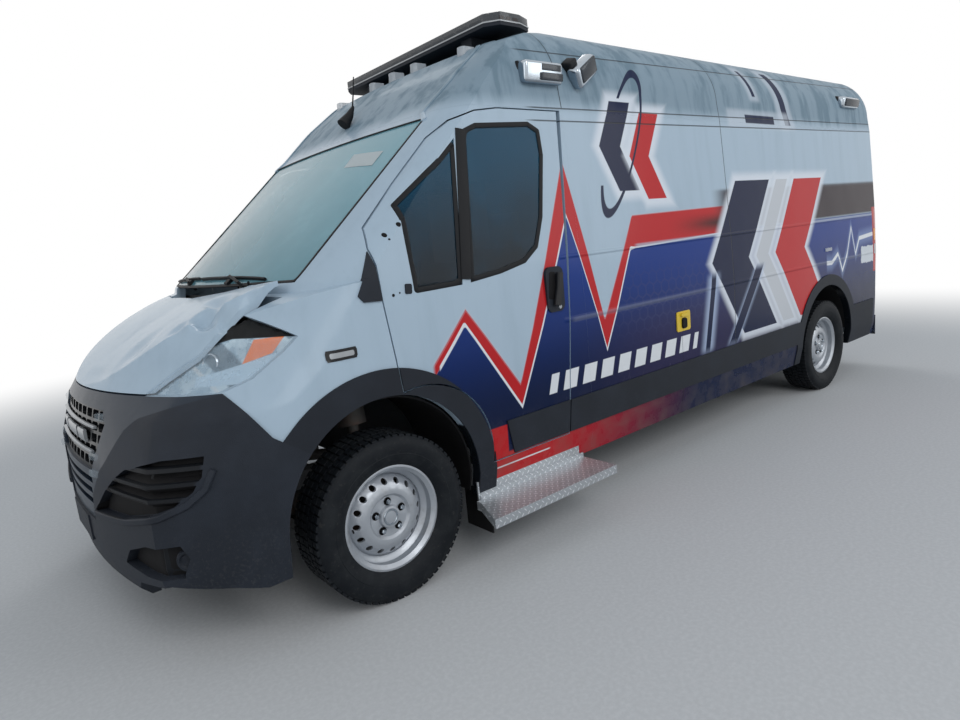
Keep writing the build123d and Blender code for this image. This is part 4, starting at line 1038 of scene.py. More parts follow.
def rim_loops(node, facing):
    """Loops round the faces of a pane that look one way, as tracks on its surface."""
    work = bmesh.new()
    work.from_mesh(merged_copy(node))
    work.normal_update()
    facing = Vector(facing).normalized()
    front = {face for face in work.faces if face.normal.dot(facing) > 0.5}
    ends = {}
    for edge in work.edges:
        if len([face for face in edge.link_faces if face in front]) == 1:
            for vertex in edge.verts:
                ends.setdefault(vertex, []).append(edge)
    loops, used = [], set()
    for start in ends:
        if start in used:
            continue
        loop, vertex, last = [], start, None
        while vertex not in used:
            used.add(vertex)
            normal = sum((f.normal for f in vertex.link_faces if f in front), Vector()).normalized()
            loop.append((vertex.co.copy(), normal))
            edge = next((e for e in ends[vertex]
                         if e is not last and e.other_vert(vertex) not in used), None)
            if edge is None:
                break
            vertex, last = edge.other_vert(vertex), edge
        if len(loop) > 5:
            loops.append(loop)
    work.free()
    return loops


def inset_loop(loop, inset, gap):
    """A closed track moved inwards along its surface and evened out."""
    middle = sum((point for point, normal in loop), Vector()) / len(loop)
    count = len(loop)
    moved_points = []
    for i, (point, normal) in enumerate(loop):
        along = (loop[(i + 1) % count][0] - loop[i - 1][0]).normalized()
        across = along.cross(normal).normalized()
        if across.dot(middle - point) < 0:
            across = -across
        moved_points.append((point + across * inset, normal))
    result = []
    for i, (point, normal) in enumerate(moved_points):
        after, after_normal = moved_points[(i + 1) % count]
        steps = max(1, round((after - point).length / gap))
        for step in range(steps):
            share = step / steps
            result.append((point.lerp(after, share), normal.lerp(after_normal, share).normalized()))
    return result


def rounded(loop, reach):
    """A closed track with its corners turned into short curves."""
    result = []
    count = len(loop)
    for i, (point, normal) in enumerate(loop):
        before, after = loop[i - 1][0] - point, loop[(i + 1) % count][0] - point
        start = point + before * min(0.45, reach / max(before.length, 0.001))
        end = point + after * min(0.45, reach / max(after.length, 0.001))
        for share in (0.0, 0.25, 0.5, 0.75, 1.0):
            low, high = start.lerp(point, share), point.lerp(end, share)
            result.append((low.lerp(high, share), normal))
    return result


def seal(node, facing, width, height, material, inset):
    """Rubber round every edge of a pane."""
    tracks = [inset_loop(rounded(loop, 0.05), inset, 0.04) for loop in rim_loops(node, facing)]
    piece = joined(node + "_seal", [ribbon("seal", track, width, height, material, None, True)
                                    for track in tracks])
    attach(piece, body_of(node))
    return piece


def near_track(tree, points, gap=0.03, lift=0.0):
    """A track on a surface, near a broken line given over the body's datum."""
    track = []
    for point in evenly([placed(point) for point in points], gap):
        where, normal = tree.find_nearest(point)[:2]
        track.append((where + normal * lift, normal))
    return track


def outward_track(tree, points, outward, gap=0.03, reach=0.02):
    """A track along given points that keeps one outward way and skips holes in the surface."""
    outward = Vector(outward).normalized()
    track = []
    for point in evenly([placed(point) for point in points], gap):
        where = tree.ray_cast(point + outward * 0.08, -outward)[0]
        if where is None or (where - point).length > reach:
            where = point
        track.append((where, outward))
    return track


def front_arc(tree, z, reach):
    """A level arc over the foremost points of a surface with holes, seen from the front."""
    def foremost(y):
        hits = [tree.ray_cast(Vector((4, y + dy, z - DATUM + dz)), Vector((-1, 0, 0)))[0]
                for dy in (-0.03, -0.02, -0.01, 0, 0.01, 0.02, 0.03)
                for dz in (-0.02, -0.01, 0, 0.01, 0.02)]
        hits.append(tree.find_nearest(Vector((3, y, z - DATUM)))[0])
        return max(hit.x for hit in hits if hit is not None)

    middle, end = foremost(0), (foremost(reach) + foremost(-reach)) / 2
    line = []
    for step in range(-10, 11):
        share = step / 10
        x = middle + (end - middle) * share * share
        line.append((Vector((x, reach * share, z - DATUM)), Vector((1, 0, 0))))
    return line


def flipped(points):
    """The same points on the other side of the van."""
    return [(x, -y, z) for x, y, z in points]


def patch(name, tree, outline, toward, material, body, lift=0.001, gap=0.04):
    """A skin laid on a surface; its outline holds points over the datum, cast along toward."""
    toward = Vector(toward)
    flat = toward.to_track_quat("Z", "Y").to_matrix()
    points = [flat.transposed() @ placed(point) for point in outline]
    depth = min(point.z for point in points) - 1.0
    work = bmesh.new()
    work.faces.new([work.verts.new((point.x, point.y, 0)) for point in points])
    cut_grid(work, gap, (0, 1))
    for vertex in work.verts:
        u, v = vertex.co.xy
        where = tree.ray_cast(flat @ Vector((u, v, depth)), toward)[0]
        if where is None:
            where = tree.find_nearest(flat @ Vector((u, v, depth + 1.0)))[0]
        vertex.co = where - toward * lift
    bmesh.ops.triangulate(work, faces=work.faces)
    mesh = mesh_from(work, name)
    piece = as_piece(name, mesh, material, None, 40)
    fix_normals(piece)
    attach(piece, body)
    return piece


def cut_grid(work, gap, axes):
    """Cuts a mesh along evenly spaced planes so that it can be bent."""
    for axis in axes:
        values = [vertex.co[axis] for vertex in work.verts]
        normal = Vector([1.0 if k == axis else 0.0 for k in range(3)])
        place = gap * (int(min(values) / gap) - 1)
        while place < max(values):
            if place > min(values):
                bmesh.ops.bisect_plane(work, geom=work.verts[:] + work.edges[:] + work.faces[:],
                                       dist=0.000001, plane_co=normal * place, plane_no=normal)
            place += gap


def dented(node, dents, gap, material):
    """A panel with dents pushed into it: (middle, reach, push) rows over the datum."""
    mesh = merged_copy(node)
    work = bmesh.new()
    work.from_mesh(mesh)
    cut_grid(work, gap, (0, 1, 2))
    bmesh.ops.triangulate(work, faces=[face for face in work.faces if len(face.verts) > 4])
    for vertex in work.verts:
        push_all = Vector((0, 0, 0))
        for middle, reach, push in dents:
            away = vertex.co - placed(middle)
            share = 1 - Vector((away.x / reach[0], away.y / reach[1], away.z / reach[2])).length
            if share > 0:
                push_all += Vector(push) * (share * share * (3 - 2 * share))
        vertex.co += push_all
    work.to_mesh(mesh)
    work.free()
    piece = as_piece(node + "_skin", mesh, material, None, 34)
    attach(piece, body_of(node))
    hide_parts(node)
    return piece


def cushion(name, centre, size, crown, pinch, material, body, turn=None):
    """A stuffed block: its faces bulge and its sides pull in between the corners."""
    work = bmesh.new()
    bmesh.ops.create_cube(work, size=2.0)
    bmesh.ops.subdivide_edges(work, edges=work.edges[:], cuts=11, use_grid_fill=True)
    for vertex in work.verts:
        u, v, w = vertex.co
        round_u, round_v = 1 - u * u, 1 - v * v
        side = max(abs(u), abs(v))
        pull = 1 - pinch * (round_v if abs(u) > abs(v) else round_u) * side ** 4 * 0.5
        soft = 1 - 0.10 * (abs(w) ** 5) * side ** 6
        x = u * pull * soft
        y = v * pull * soft
        top = w * (1 - 0.18 * side ** 8) + crown * (w > 0) * w * round_u * round_v
        channel = max(0.0, 1 - abs(abs(v) - 0.52) / 0.035) * (w > 0.9)
        top -= 0.05 * channel * round_u ** 0.3 if round_u > 0 else 0.0
        vertex.co = Vector((x * size[0] / 2, y * size[1] / 2, top * size[2] / 2))
    mesh = mesh_from(work, name)
    if turn is not None:
        mesh.transform(turn)
    mesh.transform(Matrix.Translation(placed(centre)))
    piece = as_piece(name, mesh, material, None, 60)
    smoother = piece.modifiers.new("smooth", "SUBSURF")
    smoother.levels = 1
    smoother.render_levels = 1
    bake_modifiers(piece)
    piece.data.shade_smooth()
    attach(piece, body)
    return piece


def tilted_block(name, centre, size, material, round_off, turns=()):
    """A rounded block over the datum, turned about its middle by (axis, degrees) pairs."""
    turn = Matrix.Identity(4)
    for axis, angle in turns:
        turn = Matrix.Rotation(radians(angle), 4, axis) @ turn
    return block(name, placed(centre), size, material, round_off, turn)


def as_one(name, pieces, body, *nodes):
    """Joins pieces of one finish, lets them ride, and stands them for some nodes."""
    piece = joined(name, pieces)
    shade(piece.data, 40)
    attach(piece, body)
    if nodes:
        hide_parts(*nodes)
    return piece


def plate(name, tree, centre, size, thickness, material, side, body, lean=0.0, corner=0.25):
    """A thin rounded plate on the body's side, given by its (x, z) centre and size."""
    half_x, half_z = size[0] / 2, size[1] / 2
    r = min(half_x, half_z) * corner * 2
    ring = []
    for k, (sx, sz) in enumerate(((1, 1), (-1, 1), (-1, -1), (1, -1))):
        for step in range(5):
            a = pi / 2 * (k + step / 4)
            ring.append((sx * (half_x - r) + r * cos(a), sz * (half_z - r) + r * sin(a)))
    ring = [(u * cos(lean) - v * sin(lean), u * sin(lean) + v * cos(lean)) for u, v in ring]
    verts, faces = [], []
    for shrink, lift in ((1.0, -0.002), (1.0, thickness * 0.6), (0.93, thickness)):
        for u, v in ring:
            where, normal = on_side(tree, centre[0] + u * shrink, centre[1] + v * shrink, side)
            verts.append(where + normal * lift)
    where, normal = on_side(tree, centre[0], centre[1], side)
    verts.append(where + normal * thickness)
    n = len(ring)
    for layer in range(2):
        for i in range(n):
            j = (i + 1) % n
            faces.append((layer * n + i, layer * n + j, layer * n + n + j, layer * n + n + i))
    faces += [(2 * n + i, 2 * n + (i + 1) % n, 3 * n) for i in range(n)]
    piece = new_piece(name, verts, faces, material)
    fix_normals(piece)
    shade(piece.data, 40)
    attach(piece, body)
    return piece


def rod(name, points, radius, material, body=None, sides=10, tip=None):
    """A round bar through points, tapering to another radius at its end."""
    points = [Vector(point) for point in points]
    tip = radius if tip is None else tip
    across = (points[-1] - points[0]).orthogonal()
    verts, faces = [], []
    for i, point in enumerate(points):
        ahead = (points[min(i + 1, len(points) - 1)] - points[max(i - 1, 0)]).normalized()
        side = (across - ahead * across.dot(ahead)).normalized()
        other = ahead.cross(side)
        r = radius + (tip - radius) * i / (len(points) - 1)
        for k in range(sides):
            a = 2 * pi * k / sides
            verts.append(point + side * (r * cos(a)) + other * (r * sin(a)))
    for i in range(len(points) - 1):
        for k in range(sides):
            m = (k + 1) % sides
            faces.append((i * sides + k, i * sides + m, (i + 1) * sides + m, (i + 1) * sides + k))
    last = (len(points) - 1) * sides
    faces += [tuple(range(sides))[::-1], tuple(range(last, last + sides))]
    piece = new_piece(name, verts, faces, material, None, 40)
    fix_normals(piece)
    if body:
        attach(piece, body)
    return piece


# Operators

# Dents in the sprung bonnet: middle, reach and push
BONNET_DENTS = [
    ((2.540, 0.640, 1.300), (0.085, 0.095, 0.10), (-0.006, -0.028, -0.062)),
    ((2.455, 0.560, 1.330), (0.060, 0.170, 0.09), (0.000, 0.000, -0.034)),
    ((2.500, 0.735, 1.275), (0.050, 0.060, 0.07), (0.010, -0.022, -0.022)),
    ((2.620, 0.560, 1.235), (0.060, 0.070, 0.07), (-0.012, -0.010, -0.012)),
    ((2.400, 0.770, 1.330), (0.070, 0.050, 0.09), (0.0, -0.012, -0.028)),
    ((2.730, 0.330, 1.190), (0.160, 0.110, 0.12), (-0.006, 0.0, -0.008)),
    ((2.860, 0.150, 1.080), (0.050, 0.230, 0.06), (-0.010, 0.0, -0.002)),
]
# Lines of the gutter that runs up each side of the roof's front slope
ROOF_RIB = [(1.545, 0.800, 2.005), (1.512, 0.735, 2.060), (1.339, 0.755, 2.192),
            (1.156, 0.725, 2.338), (0.960, 0.650, 2.43)]
# Where pressed ribs cross the roof
PRESSINGS = (0.42, -0.05, -0.52, -0.99, -1.46, -1.93, -2.40)


class AMBULANCE_OT_bodywork(bpy.types.Operator):
    """Paint the body panels, doors and roof"""

    bl_idname = "ambulance.bodywork"
    bl_label = "Bodywork"

    def execute(self, context):
        for node in ("side_panel_left", "side_panel_right", "sliding_door", "roof_panel",
                     "cab_frame", "fenders", "door_left", "door_right", "rear_door_left",
                     "rear_door_right"):
            skin(node, FINISH["paint"], 30, 0.0)
        dented("bonnet", BONNET_DENTS, 0.018, FINISH["paint"])
        body = body_of("roof_panel")
        roof = surface_of("roof_panel", "cab_frame")
        gutters = [ribbon("roof_ribs", near_track(roof, line), 0.026, 0.006, FINISH["paint"], None)
                   for line in (ROOF_RIB, flipped(ROOF_RIB))]
        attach(joined("roof_ribs", gutters), body)
        ribs = []
        for x in PRESSINGS:
            line = [(x, y, 2.6) for y in (-0.62, -0.3, 0.3, 0.62)]
            track = near_track(roof, line, 0.06)
            ribs.append(ribbon("rib", track, 0.09, 0.010, FINISH["paint"], None))
        as_one("roof_pressings", ribs, body)
        return {"FINISHED"}


# Lines of each wiper's blade and arm along the foot of the windscreen, and y of the washer jets
WIPERS = (
    ([(2.275, 0.60, 1.400), (2.315, 0.20, 1.412), (2.325, -0.03, 1.415)],
     [(2.335, 0.52, 1.375), (2.310, 0.30, 1.420)]),
    ([(2.320, -0.08, 1.418), (2.300, -0.36, 1.410), (2.255, -0.66, 1.402)],
     [(2.345, -0.13, 1.380), (2.305, -0.34, 1.420)]),
)
WASHER_JETS = (0.30, -0.22)


class AMBULANCE_OT_glazing(bpy.types.Operator):
    """Fit the windscreen, windows, their seals and the wipers"""

    bl_idname = "ambulance.glazing"
    bl_label = "Glazing"

    def execute(self, context):
        skin("windscreen", FINISH["windscreen"], 30, 0.0)
        rubber = FINISH["rubber"]
        seal("windscreen", (1, 0, 0.8), 0.016, 0.004, rubber, 0.004)
        facings = {"door_glass_left": (0, 1, 0), "door_glass_right": (0, -1, 0),
                   "sliding_door_glass": (0, -1, 0), "rear_glass_left": (-1, 0, 0),
                   "rear_glass_right": (-1, 0, 0)}
        for node, facing in facings.items():
            skin(node, FINISH["glass"], 30, 0.0)
            seal(node, facing, 0.024, 0.005, rubber, 0.010)
        for side, sign in SIDES:
            door = surface_of("door_" + side, "door_glass_" + side)
            track = side_track(door, [(1.477, 1.940), (1.5655, 1.312)], sign, 0.02)
            divider = ribbon("divider_" + side, track, 0.052, 0.006, rubber, None)
            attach(divider, body_of("door_" + side))
        self.wipers(rubber)
        self.film()
        return {"FINISHED"}

    def wipers(self, rubber):
        """Two blades with their arms, and two washer jets."""
        screen = surface_of("windscreen")
        pieces = []
        for blade, arm in WIPERS:
            track = near_track(screen, blade, 0.04, 0.004)
            pieces.append(ribbon("blade", track, 0.010, 0.011, rubber, None))
            track = near_track(screen, arm, 0.03, 0.012)
            pieces.append(ribbon("arm", track, 0.013, 0.009, rubber, None))
        for y in WASHER_JETS:
            track = near_track(screen, [(2.33, y, 1.400), (2.33, y + 0.03, 1.400)], 0.01)
            pieces.append(ribbon("jet", track, 0.03, 0.014, rubber, None))
        as_one("wipers", pieces, body_of("windscreen"))

    def film(self):
        """A blank sticker inside the top of the windscreen."""
        screen = surface_of("windscreen")
        corners = [(1.680, 0.40, 1.922), (1.690, 0.66, 1.905), (1.752, 0.665, 1.835),
                   (1.745, 0.42, 1.852)]
        patch("windscreen_film", screen, corners, (-0.72, 0, -0.69), FINISH["film"],
              body_of("windscreen"), 0.0012)


# The bumper's left side: its crease lip, and the scoop and lamp recess seen from the front
LIP_LINE = [(2.985, 0.30, 0.560), (2.940, 0.62, 0.592), (2.903, 0.748, 0.622),
            (2.858, 0.819, 0.640), (2.785, 0.886, 0.676), (2.725, 0.925, 0.727),
            (2.695, 0.938, 0.790)]
SCOOP = [(0.300, 0.574), (0.470, 0.686), (0.640, 0.786), (0.810, 0.830), (0.908, 0.833),
         (0.914, 0.768), (0.896, 0.722), (0.856, 0.678), (0.780, 0.645), (0.560, 0.595)]
FOG = [(0.545, 0.418), (0.602, 0.476), (0.731, 0.518), (0.857, 0.528), (0.874, 0.484),
       (0.857, 0.416), (0.700, 0.402)]
# The grille: height and half width of its thin bars; first and last point of each blank badge
# along its arc; middles of the small lamps beside it; height and half width of the slots
GRILLE_BARS = ((0.905, 0.34), (0.812, 0.33))
GRILLE_BADGES = ((1, 5), (6, 10), (10, 14), (15, 19))
GRILLE_LAMPS = ((2.912, 0.372, 0.944), (2.955, 0.355, 0.795), (2.968, 0.375, 0.735))
GRILLE_SLOTS = ((0.694, 0.29), (0.646, 0.262), (0.598, 0.248))
# Rings round the headlamp's reflectors: middle and radius
LAMP_RINGS = ((2.700, 0.640, 1.095, 0.040), (2.600, 0.755, 1.120, 0.036))


class AMBULANCE_OT_nose(bpy.types.Operator):
    """Finish the bumper, grille and headlamps"""

    bl_idname = "ambulance.nose"
    bl_label = "Nose"

    def execute(self, context):
        skin("front_bumper", FINISH["plastic"], 30, 0.0)
        skin("nose_panel", FINISH["satin"], 30, 0.0)
        skin("grille", FINISH["black"], 30)
        body = body_of("front_bumper")
        bumper = surface_of("front_bumper")
        lips = []
        for line, sign in ((LIP_LINE, 1), (flipped(LIP_LINE), -1)):
            track = outward_track(bumper, line, (0.78, 0.62 * sign, 0.0), 0.025)
            lips.append(ribbon("lip", track, 0.024, 0.010, FINISH["plastic"], None))
        as_one("bumper_lip", lips, body)
        # Sheets of painted shade on the floors of the scoops and lamp recesses
        for name, outline in (("scoop_shade_sheet", SCOOP), ("fog_recess_shade_sheet", FOG)):
            for side, sign in SIDES:
                corners = [(2.9, y * sign, z) for y, z in outline]
                patch(f"{name}_{side}", bumper, corners, (-1, 0, 0), FINISH["shadow"], body,
                      0.0015, 0.025)
        self.plugs(body)
        self.grille(body)
        self.headlamps()
        return {"FINISHED"}

    def grille(self, body):
        """Bright blank bars in the mesh, small warning lamps, and blocks of painted shade behind
        the slots and the mesh.
        """
        mesh = surface_of("grille")
        bars = []
        for z, reach in GRILLE_BARS:
            arc = front_arc(mesh, z, reach)
            bars.append(ribbon("bar", arc, 0.011, 0.010, FINISH["badge"], None))
        arc = front_arc(mesh, 0.858, 0.25)
        for low, high in GRILLE_BADGES:
            bars.append(ribbon("badge", arc[low:high + 1], 0.052, 0.010, FINISH["badge"], None))
        as_one("grille_bars", bars, body)
        lamps = []
        for sign in (1, -1):
            for x, y, z in GRILLE_LAMPS:
                lamps.append(tilted_block("lamp", (x - 0.002, y * sign, z), (0.022, 0.075, 0.030),
                                          FINISH["cover"], 0.006, (("Z", sign * 16),)))
        as_one("grille_lamps", lamps, body)
        # Blocks of painted shade behind the grille's slots and behind its mesh
        rows = [((2.925, 0, z), (0.02, reach * 2, 0.030)) for z, reach in GRILLE_SLOTS]
        rows.append(((2.855, 0, 0.86), (0.01, 0.78, 0.22)))
        shade_blocks = [tilted_block("back", *row, FINISH["shadow"], 0.002) for row in rows]
        as_one("grille_shades", shade_blocks, body)

    def shows(self, face):
        """Whether a face of a headlamp looks forwards, or outwards on its own side."""
        normal, middle = face.normal, face.calc_center_median()
        forwards = normal.x > 0.25 and abs(normal.y) > 0.06 and middle.x > 2.3
        outwards = abs(normal.y) > 0.25 and normal.x > 0.02 and normal.y * middle.y > 0
        return forwards or outwards

    def headlamps(self):
        """A clear cover over a bright bowl, cut from the lamp's outer faces."""
        body = body_of("headlamps")
        for name, finish, inset in (("headlamp_covers", "cover", 0.0),
                                    ("headlamp_bowls", "bowl", 0.022)):
            work = bmesh.new()
            work.from_mesh(merged_copy("headlamps"))
            work.normal_update()
            hidden = [face for face in work.faces if not self.shows(face)]
            bmesh.ops.delete(work, geom=hidden, context="FACES")
            cut_grid(work, 0.03, (0, 1, 2))
            work.normal_update()
            for vertex in work.verts:
                vertex.co = vertex.co - vertex.normal * inset
            mesh = mesh_from(work, name)
            piece = as_piece(name, mesh, FINISH[finish], None, 35)
            thick = piece.modifiers.new("thickness", "SOLIDIFY")
            thick.thickness = 0.003
            thick.offset = -1
            bake_modifiers(piece)
            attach(piece, body)
            if name == "headlamp_covers":
                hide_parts("headlamps")
        parts = []
        for sign in (1, -1):
            for x, y, z, radius in LAMP_RINGS:
                profile = [(radius, 0), (radius, 0.02), (radius - 0.004, 0.024),
                           (radius - 0.008, 0.02), (radius - 0.012, 0.0)]
                ring = lathe("ring", profile, (0, 0, 0), FINISH["bright"], None, 40)
                place = (x - 0.028, (y - 0.02) * sign, z)
                parts.append(aimed(ring, (0.82, 0.52 * sign, 0.22), place))
        as_one("headlamp_rings", parts, body)

    def plugs(self, body):
        """Round covers at the outer ends of the lamp recesses low in the bumper."""
        profile = [(0.0, 0.004), (0.024, 0.004), (0.030, 0.010), (0.038, 0.010), (0.043, 0.0)]
        parts = []
        for sign in (1, -1):
            plug = lathe("plug", profile, (0, 0, 0), FINISH["trim"], None, 40)
            parts.append(aimed(plug, (0.62, 0.78 * sign, 0), (2.806, 0.852 * sign, 0.470)))
        as_one("recess_plugs", parts, body)


# Holes where the left mirror was: x, height and size
MIRROR_HOLES = ((1.859, 1.562, 0.019), (1.922, 1.526, 0.018), (1.912, 1.508, 0.008),
                (1.936, 1.291, 0.013), (1.905, 1.297, 0.007))
# The fender badge and the blank field on it: their middle, then half length, half height, lift
# and finish, and the outline that they share
BADGE_X, BADGE_Z = 2.196, 1.104
FENDER_BADGES = (("badge", 0.064, 0.021, 0.003, "black"), ("blank", 0.050, 0.010, 0.0055, "badge"))
BADGE_OUTLINE = ((-1, -0.5), (-0.93, -1), (0.93, -1), (1, -0.5), (1, 0.5), (0.93, 1), (-0.93, 1),
                 (-1, 0.5))


class AMBULANCE_OT_trim(bpy.types.Operator):
    """Finish the mouldings, handles and small fittings"""

    bl_idname = "ambulance.trim"
    bl_label = "Trim"

    def execute(self, context):
        finishes = {"body_trim": "trim", "door_trim_left": "trim", "door_trim_right": "trim",
                    "rear_bumper": "bright", "power_inlet": "yellow", "rear_door_hinges": "black"}
        for node, finish in finishes.items():
            skin(node, FINISH[finish], 30)
        for side, sign in SIDES:
            self.door_fittings(side, sign)
        self.body_fittings()
        self.rear_fittings()
        return {"FINISHED"}

    def door_fittings(self, side, sign):
        """Pull handle with painted shade in its recess, lock, and painted shade in the holes left
        where the mirror was.
        """
        node = "door_" + side
        body = body_of(node)
        trim = surface_of("door_trim_" + side, node)
        door = surface_of(node)
        line = [(1.020, 1.282), (1.030, 1.21), (1.052, 1.130)]
        track = [(point + normal * 0.010, normal)
                 for point, normal in side_track(trim, line, sign, 0.02)]
        grip = ribbon("grip", track, 0.034, 0.018, FINISH["black"], None)
        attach(grip, body)
        grip.name = "handle_grip_" + side
        # A plate of painted shade in the handle's recess
        plate("handle_recess_" + side, trim, (1.062, 1.225), (0.040, 0.13), 0.0015,
              FINISH["shadow"], sign, body, 0.12)
        plate("lock_" + side, trim, (1.016, 1.118), (0.020, 0.020), 0.003, FINISH["badge"],
              sign, body, 0, 0.5)
        if side == "left":
            # Discs of painted shade in the holes where the mirror was
            for number, (x, z, size) in enumerate(MIRROR_HOLES):
                plate(f"mirror_hole_shade_{number}", door, (x, z), (size, size), 0.0012, FINISH["shadow"],
                      sign, body, 0, 0.5)
            plate("mirror_plug", door, (1.863, 1.308), (0.032, 0.040), 0.006, FINISH["trim"],
                  sign, body, 0.1, 0.2)

    def body_fittings(self):
        """Fender badges, side markers, the inlet's cover over painted shade in its port, and the
        sliding door's rail.
        """
        body = body_of("fenders")
        fenders = surface_of("fenders")
        sides = {1: surface_of("side_panel_left", "power_inlet"),
                 -1: surface_of("side_panel_right", "sliding_door")}
        for side, sign in SIDES:
            for name, wide, tall, lift, finish in FENDER_BADGES:
                outline = [(BADGE_X + wide * u, 1.2 * sign, BADGE_Z + tall * v)
                           for u, v in BADGE_OUTLINE]
                patch(f"fender_{name}_{side}", fenders, outline, (0, -sign, 0), FINISH[finish],
                      body, lift, 0.03)
            plate("rear_marker_" + side, sides[sign], (-1.993, 1.137), (0.110, 0.026), 0.008,
                  FINISH["clear"], sign, body, 0, 0.2)
        # A plate of painted shade in the power inlet's port
        plate("inlet_port_shade", sides[1], (-0.012, 0.878), (0.046, 0.062), 0.010, FINISH["shadow"],
              1, body, 0, 0.3)
        plate("inlet_lid", sides[1], (-0.012, 0.928), (0.070, 0.020), 0.012, FINISH["yellow"],
              1, body, 0, 0.3)
        rail = side_track(sides[-1], [(-0.64, 1.372), (-2.10, 1.372)], -1, 0.08)
        ribbon("door_rail", rail, 0.045, 0.010, FINISH["rubber"], body)
        handle_tree = surface_of("sliding_door")
        door_body = body_of("sliding_door")
        plate("sliding_handle_plate", handle_tree, (0.700, 1.205), (0.100, 0.19), 0.006,
              FINISH["black"], -1, door_body, 0, 0.4)
        track = [(point + normal * 0.012, normal) for point, normal in
                 side_track(handle_tree, [(0.70, 1.28), (0.70, 1.13)], -1, 0.02)]
        ribbon("sliding_handle_grip", track, 0.036, 0.020, FINISH["black"], door_body)

    def rear_fittings(self):
        """Centre seal, handle and blank plate on the rear doors."""
        left = body_of("rear_door_left")
        face_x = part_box("rear_door_left")[0].x + 0.008
        strip = tilted_block("rear_centre_seal", (face_x - 0.004, 0.012, 1.38),
                             (0.012, 0.022, 1.70), FINISH["rubber"], 0.004)
        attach(strip, left)
        handle = [tilted_block("handle", (face_x - lift, -0.13, 1.10), size, FINISH["black"],
                               round_off)
                  for lift, size, round_off in ((0.012, (0.030, 0.20, 0.060), 0.010),
                                                (0.004, (0.016, 0.25, 0.10), 0.007))]
        as_one("rear_handle", handle, body_of("rear_door_right"))
        recess = tilted_block("blank_plate_recess", (face_x - 0.001, 0.42, 0.86),
                              (0.010, 0.42, 0.20), FINISH["trim"], 0.004)
        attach(recess, left)
        blank = tilted_block("blank_plate", (face_x - 0.007, 0.42, 0.86), (0.006, 0.31, 0.155),
                             FINISH["film"], 0.0025)
        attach(blank, left)


# The light bar: corners of the rim on its left half, and the pitch of its lamp modules
BAR_RIM = ((0.762, 0.700), (0.850, 0.733), (0.980, 0.733), (1.033, 0.670))
MODULE_PITCH = 0.104
# Height of the roof under the antenna as its points are given
ANTENNA_FOOT = 2.150
# The paler fields of each tail lamp: name, height of the middle, height and finish
TAIL_BANDS = (("reverse", 1.07, 0.085, "clear"), ("turn", 1.19, 0.10, "amber"))
# Blocks of the lamps high on each side: kind, x, distance out from SIDE_LAMP_Y, height, size,
# rounding, and the degrees that each is tipped about X and then turned about Y
SIDE_LAMP_Y = 0.945
SIDE_LAMP_FINISH = {"shell": "bright", "lens": "smoke", "back": "rubber"}
SIDE_LAMP_BLOCKS = [
    ("shell", 0.948, -0.010, 2.208, (0.250, 0.075, 0.098), 0.016, 6, 0),
    ("lens", 0.905, 0.024, 2.228, (0.130, 0.016, 0.030), 0.004, 6, 0),
    ("lens", 0.905, 0.028, 2.186, (0.140, 0.018, 0.034), 0.004, 6, 0),
    ("back", 0.948, -0.038, 2.205, (0.262, 0.030, 0.110), 0.010, 6, 0),
    ("shell", 0.660, 0.004, 2.235, (0.165, 0.070, 0.105), 0.018, 16, 34),
    ("lens", 0.652, 0.036, 2.238, (0.130, 0.020, 0.078), 0.006, 16, 34),
    ("back", 0.700, -0.030, 2.225, (0.060, 0.060, 0.150), 0.010, 16, 34),
    ("shell", -2.575, -0.030, 2.258, (0.300, 0.080, 0.082), 0.020, 10, 0),
    ("lens", -2.575, 0.010, 2.252, (0.250, 0.018, 0.056), 0.006, 10, 0),
    ("back", -2.575, -0.060, 2.258, (0.330, 0.040, 0.100), 0.014, 10, 0),
]


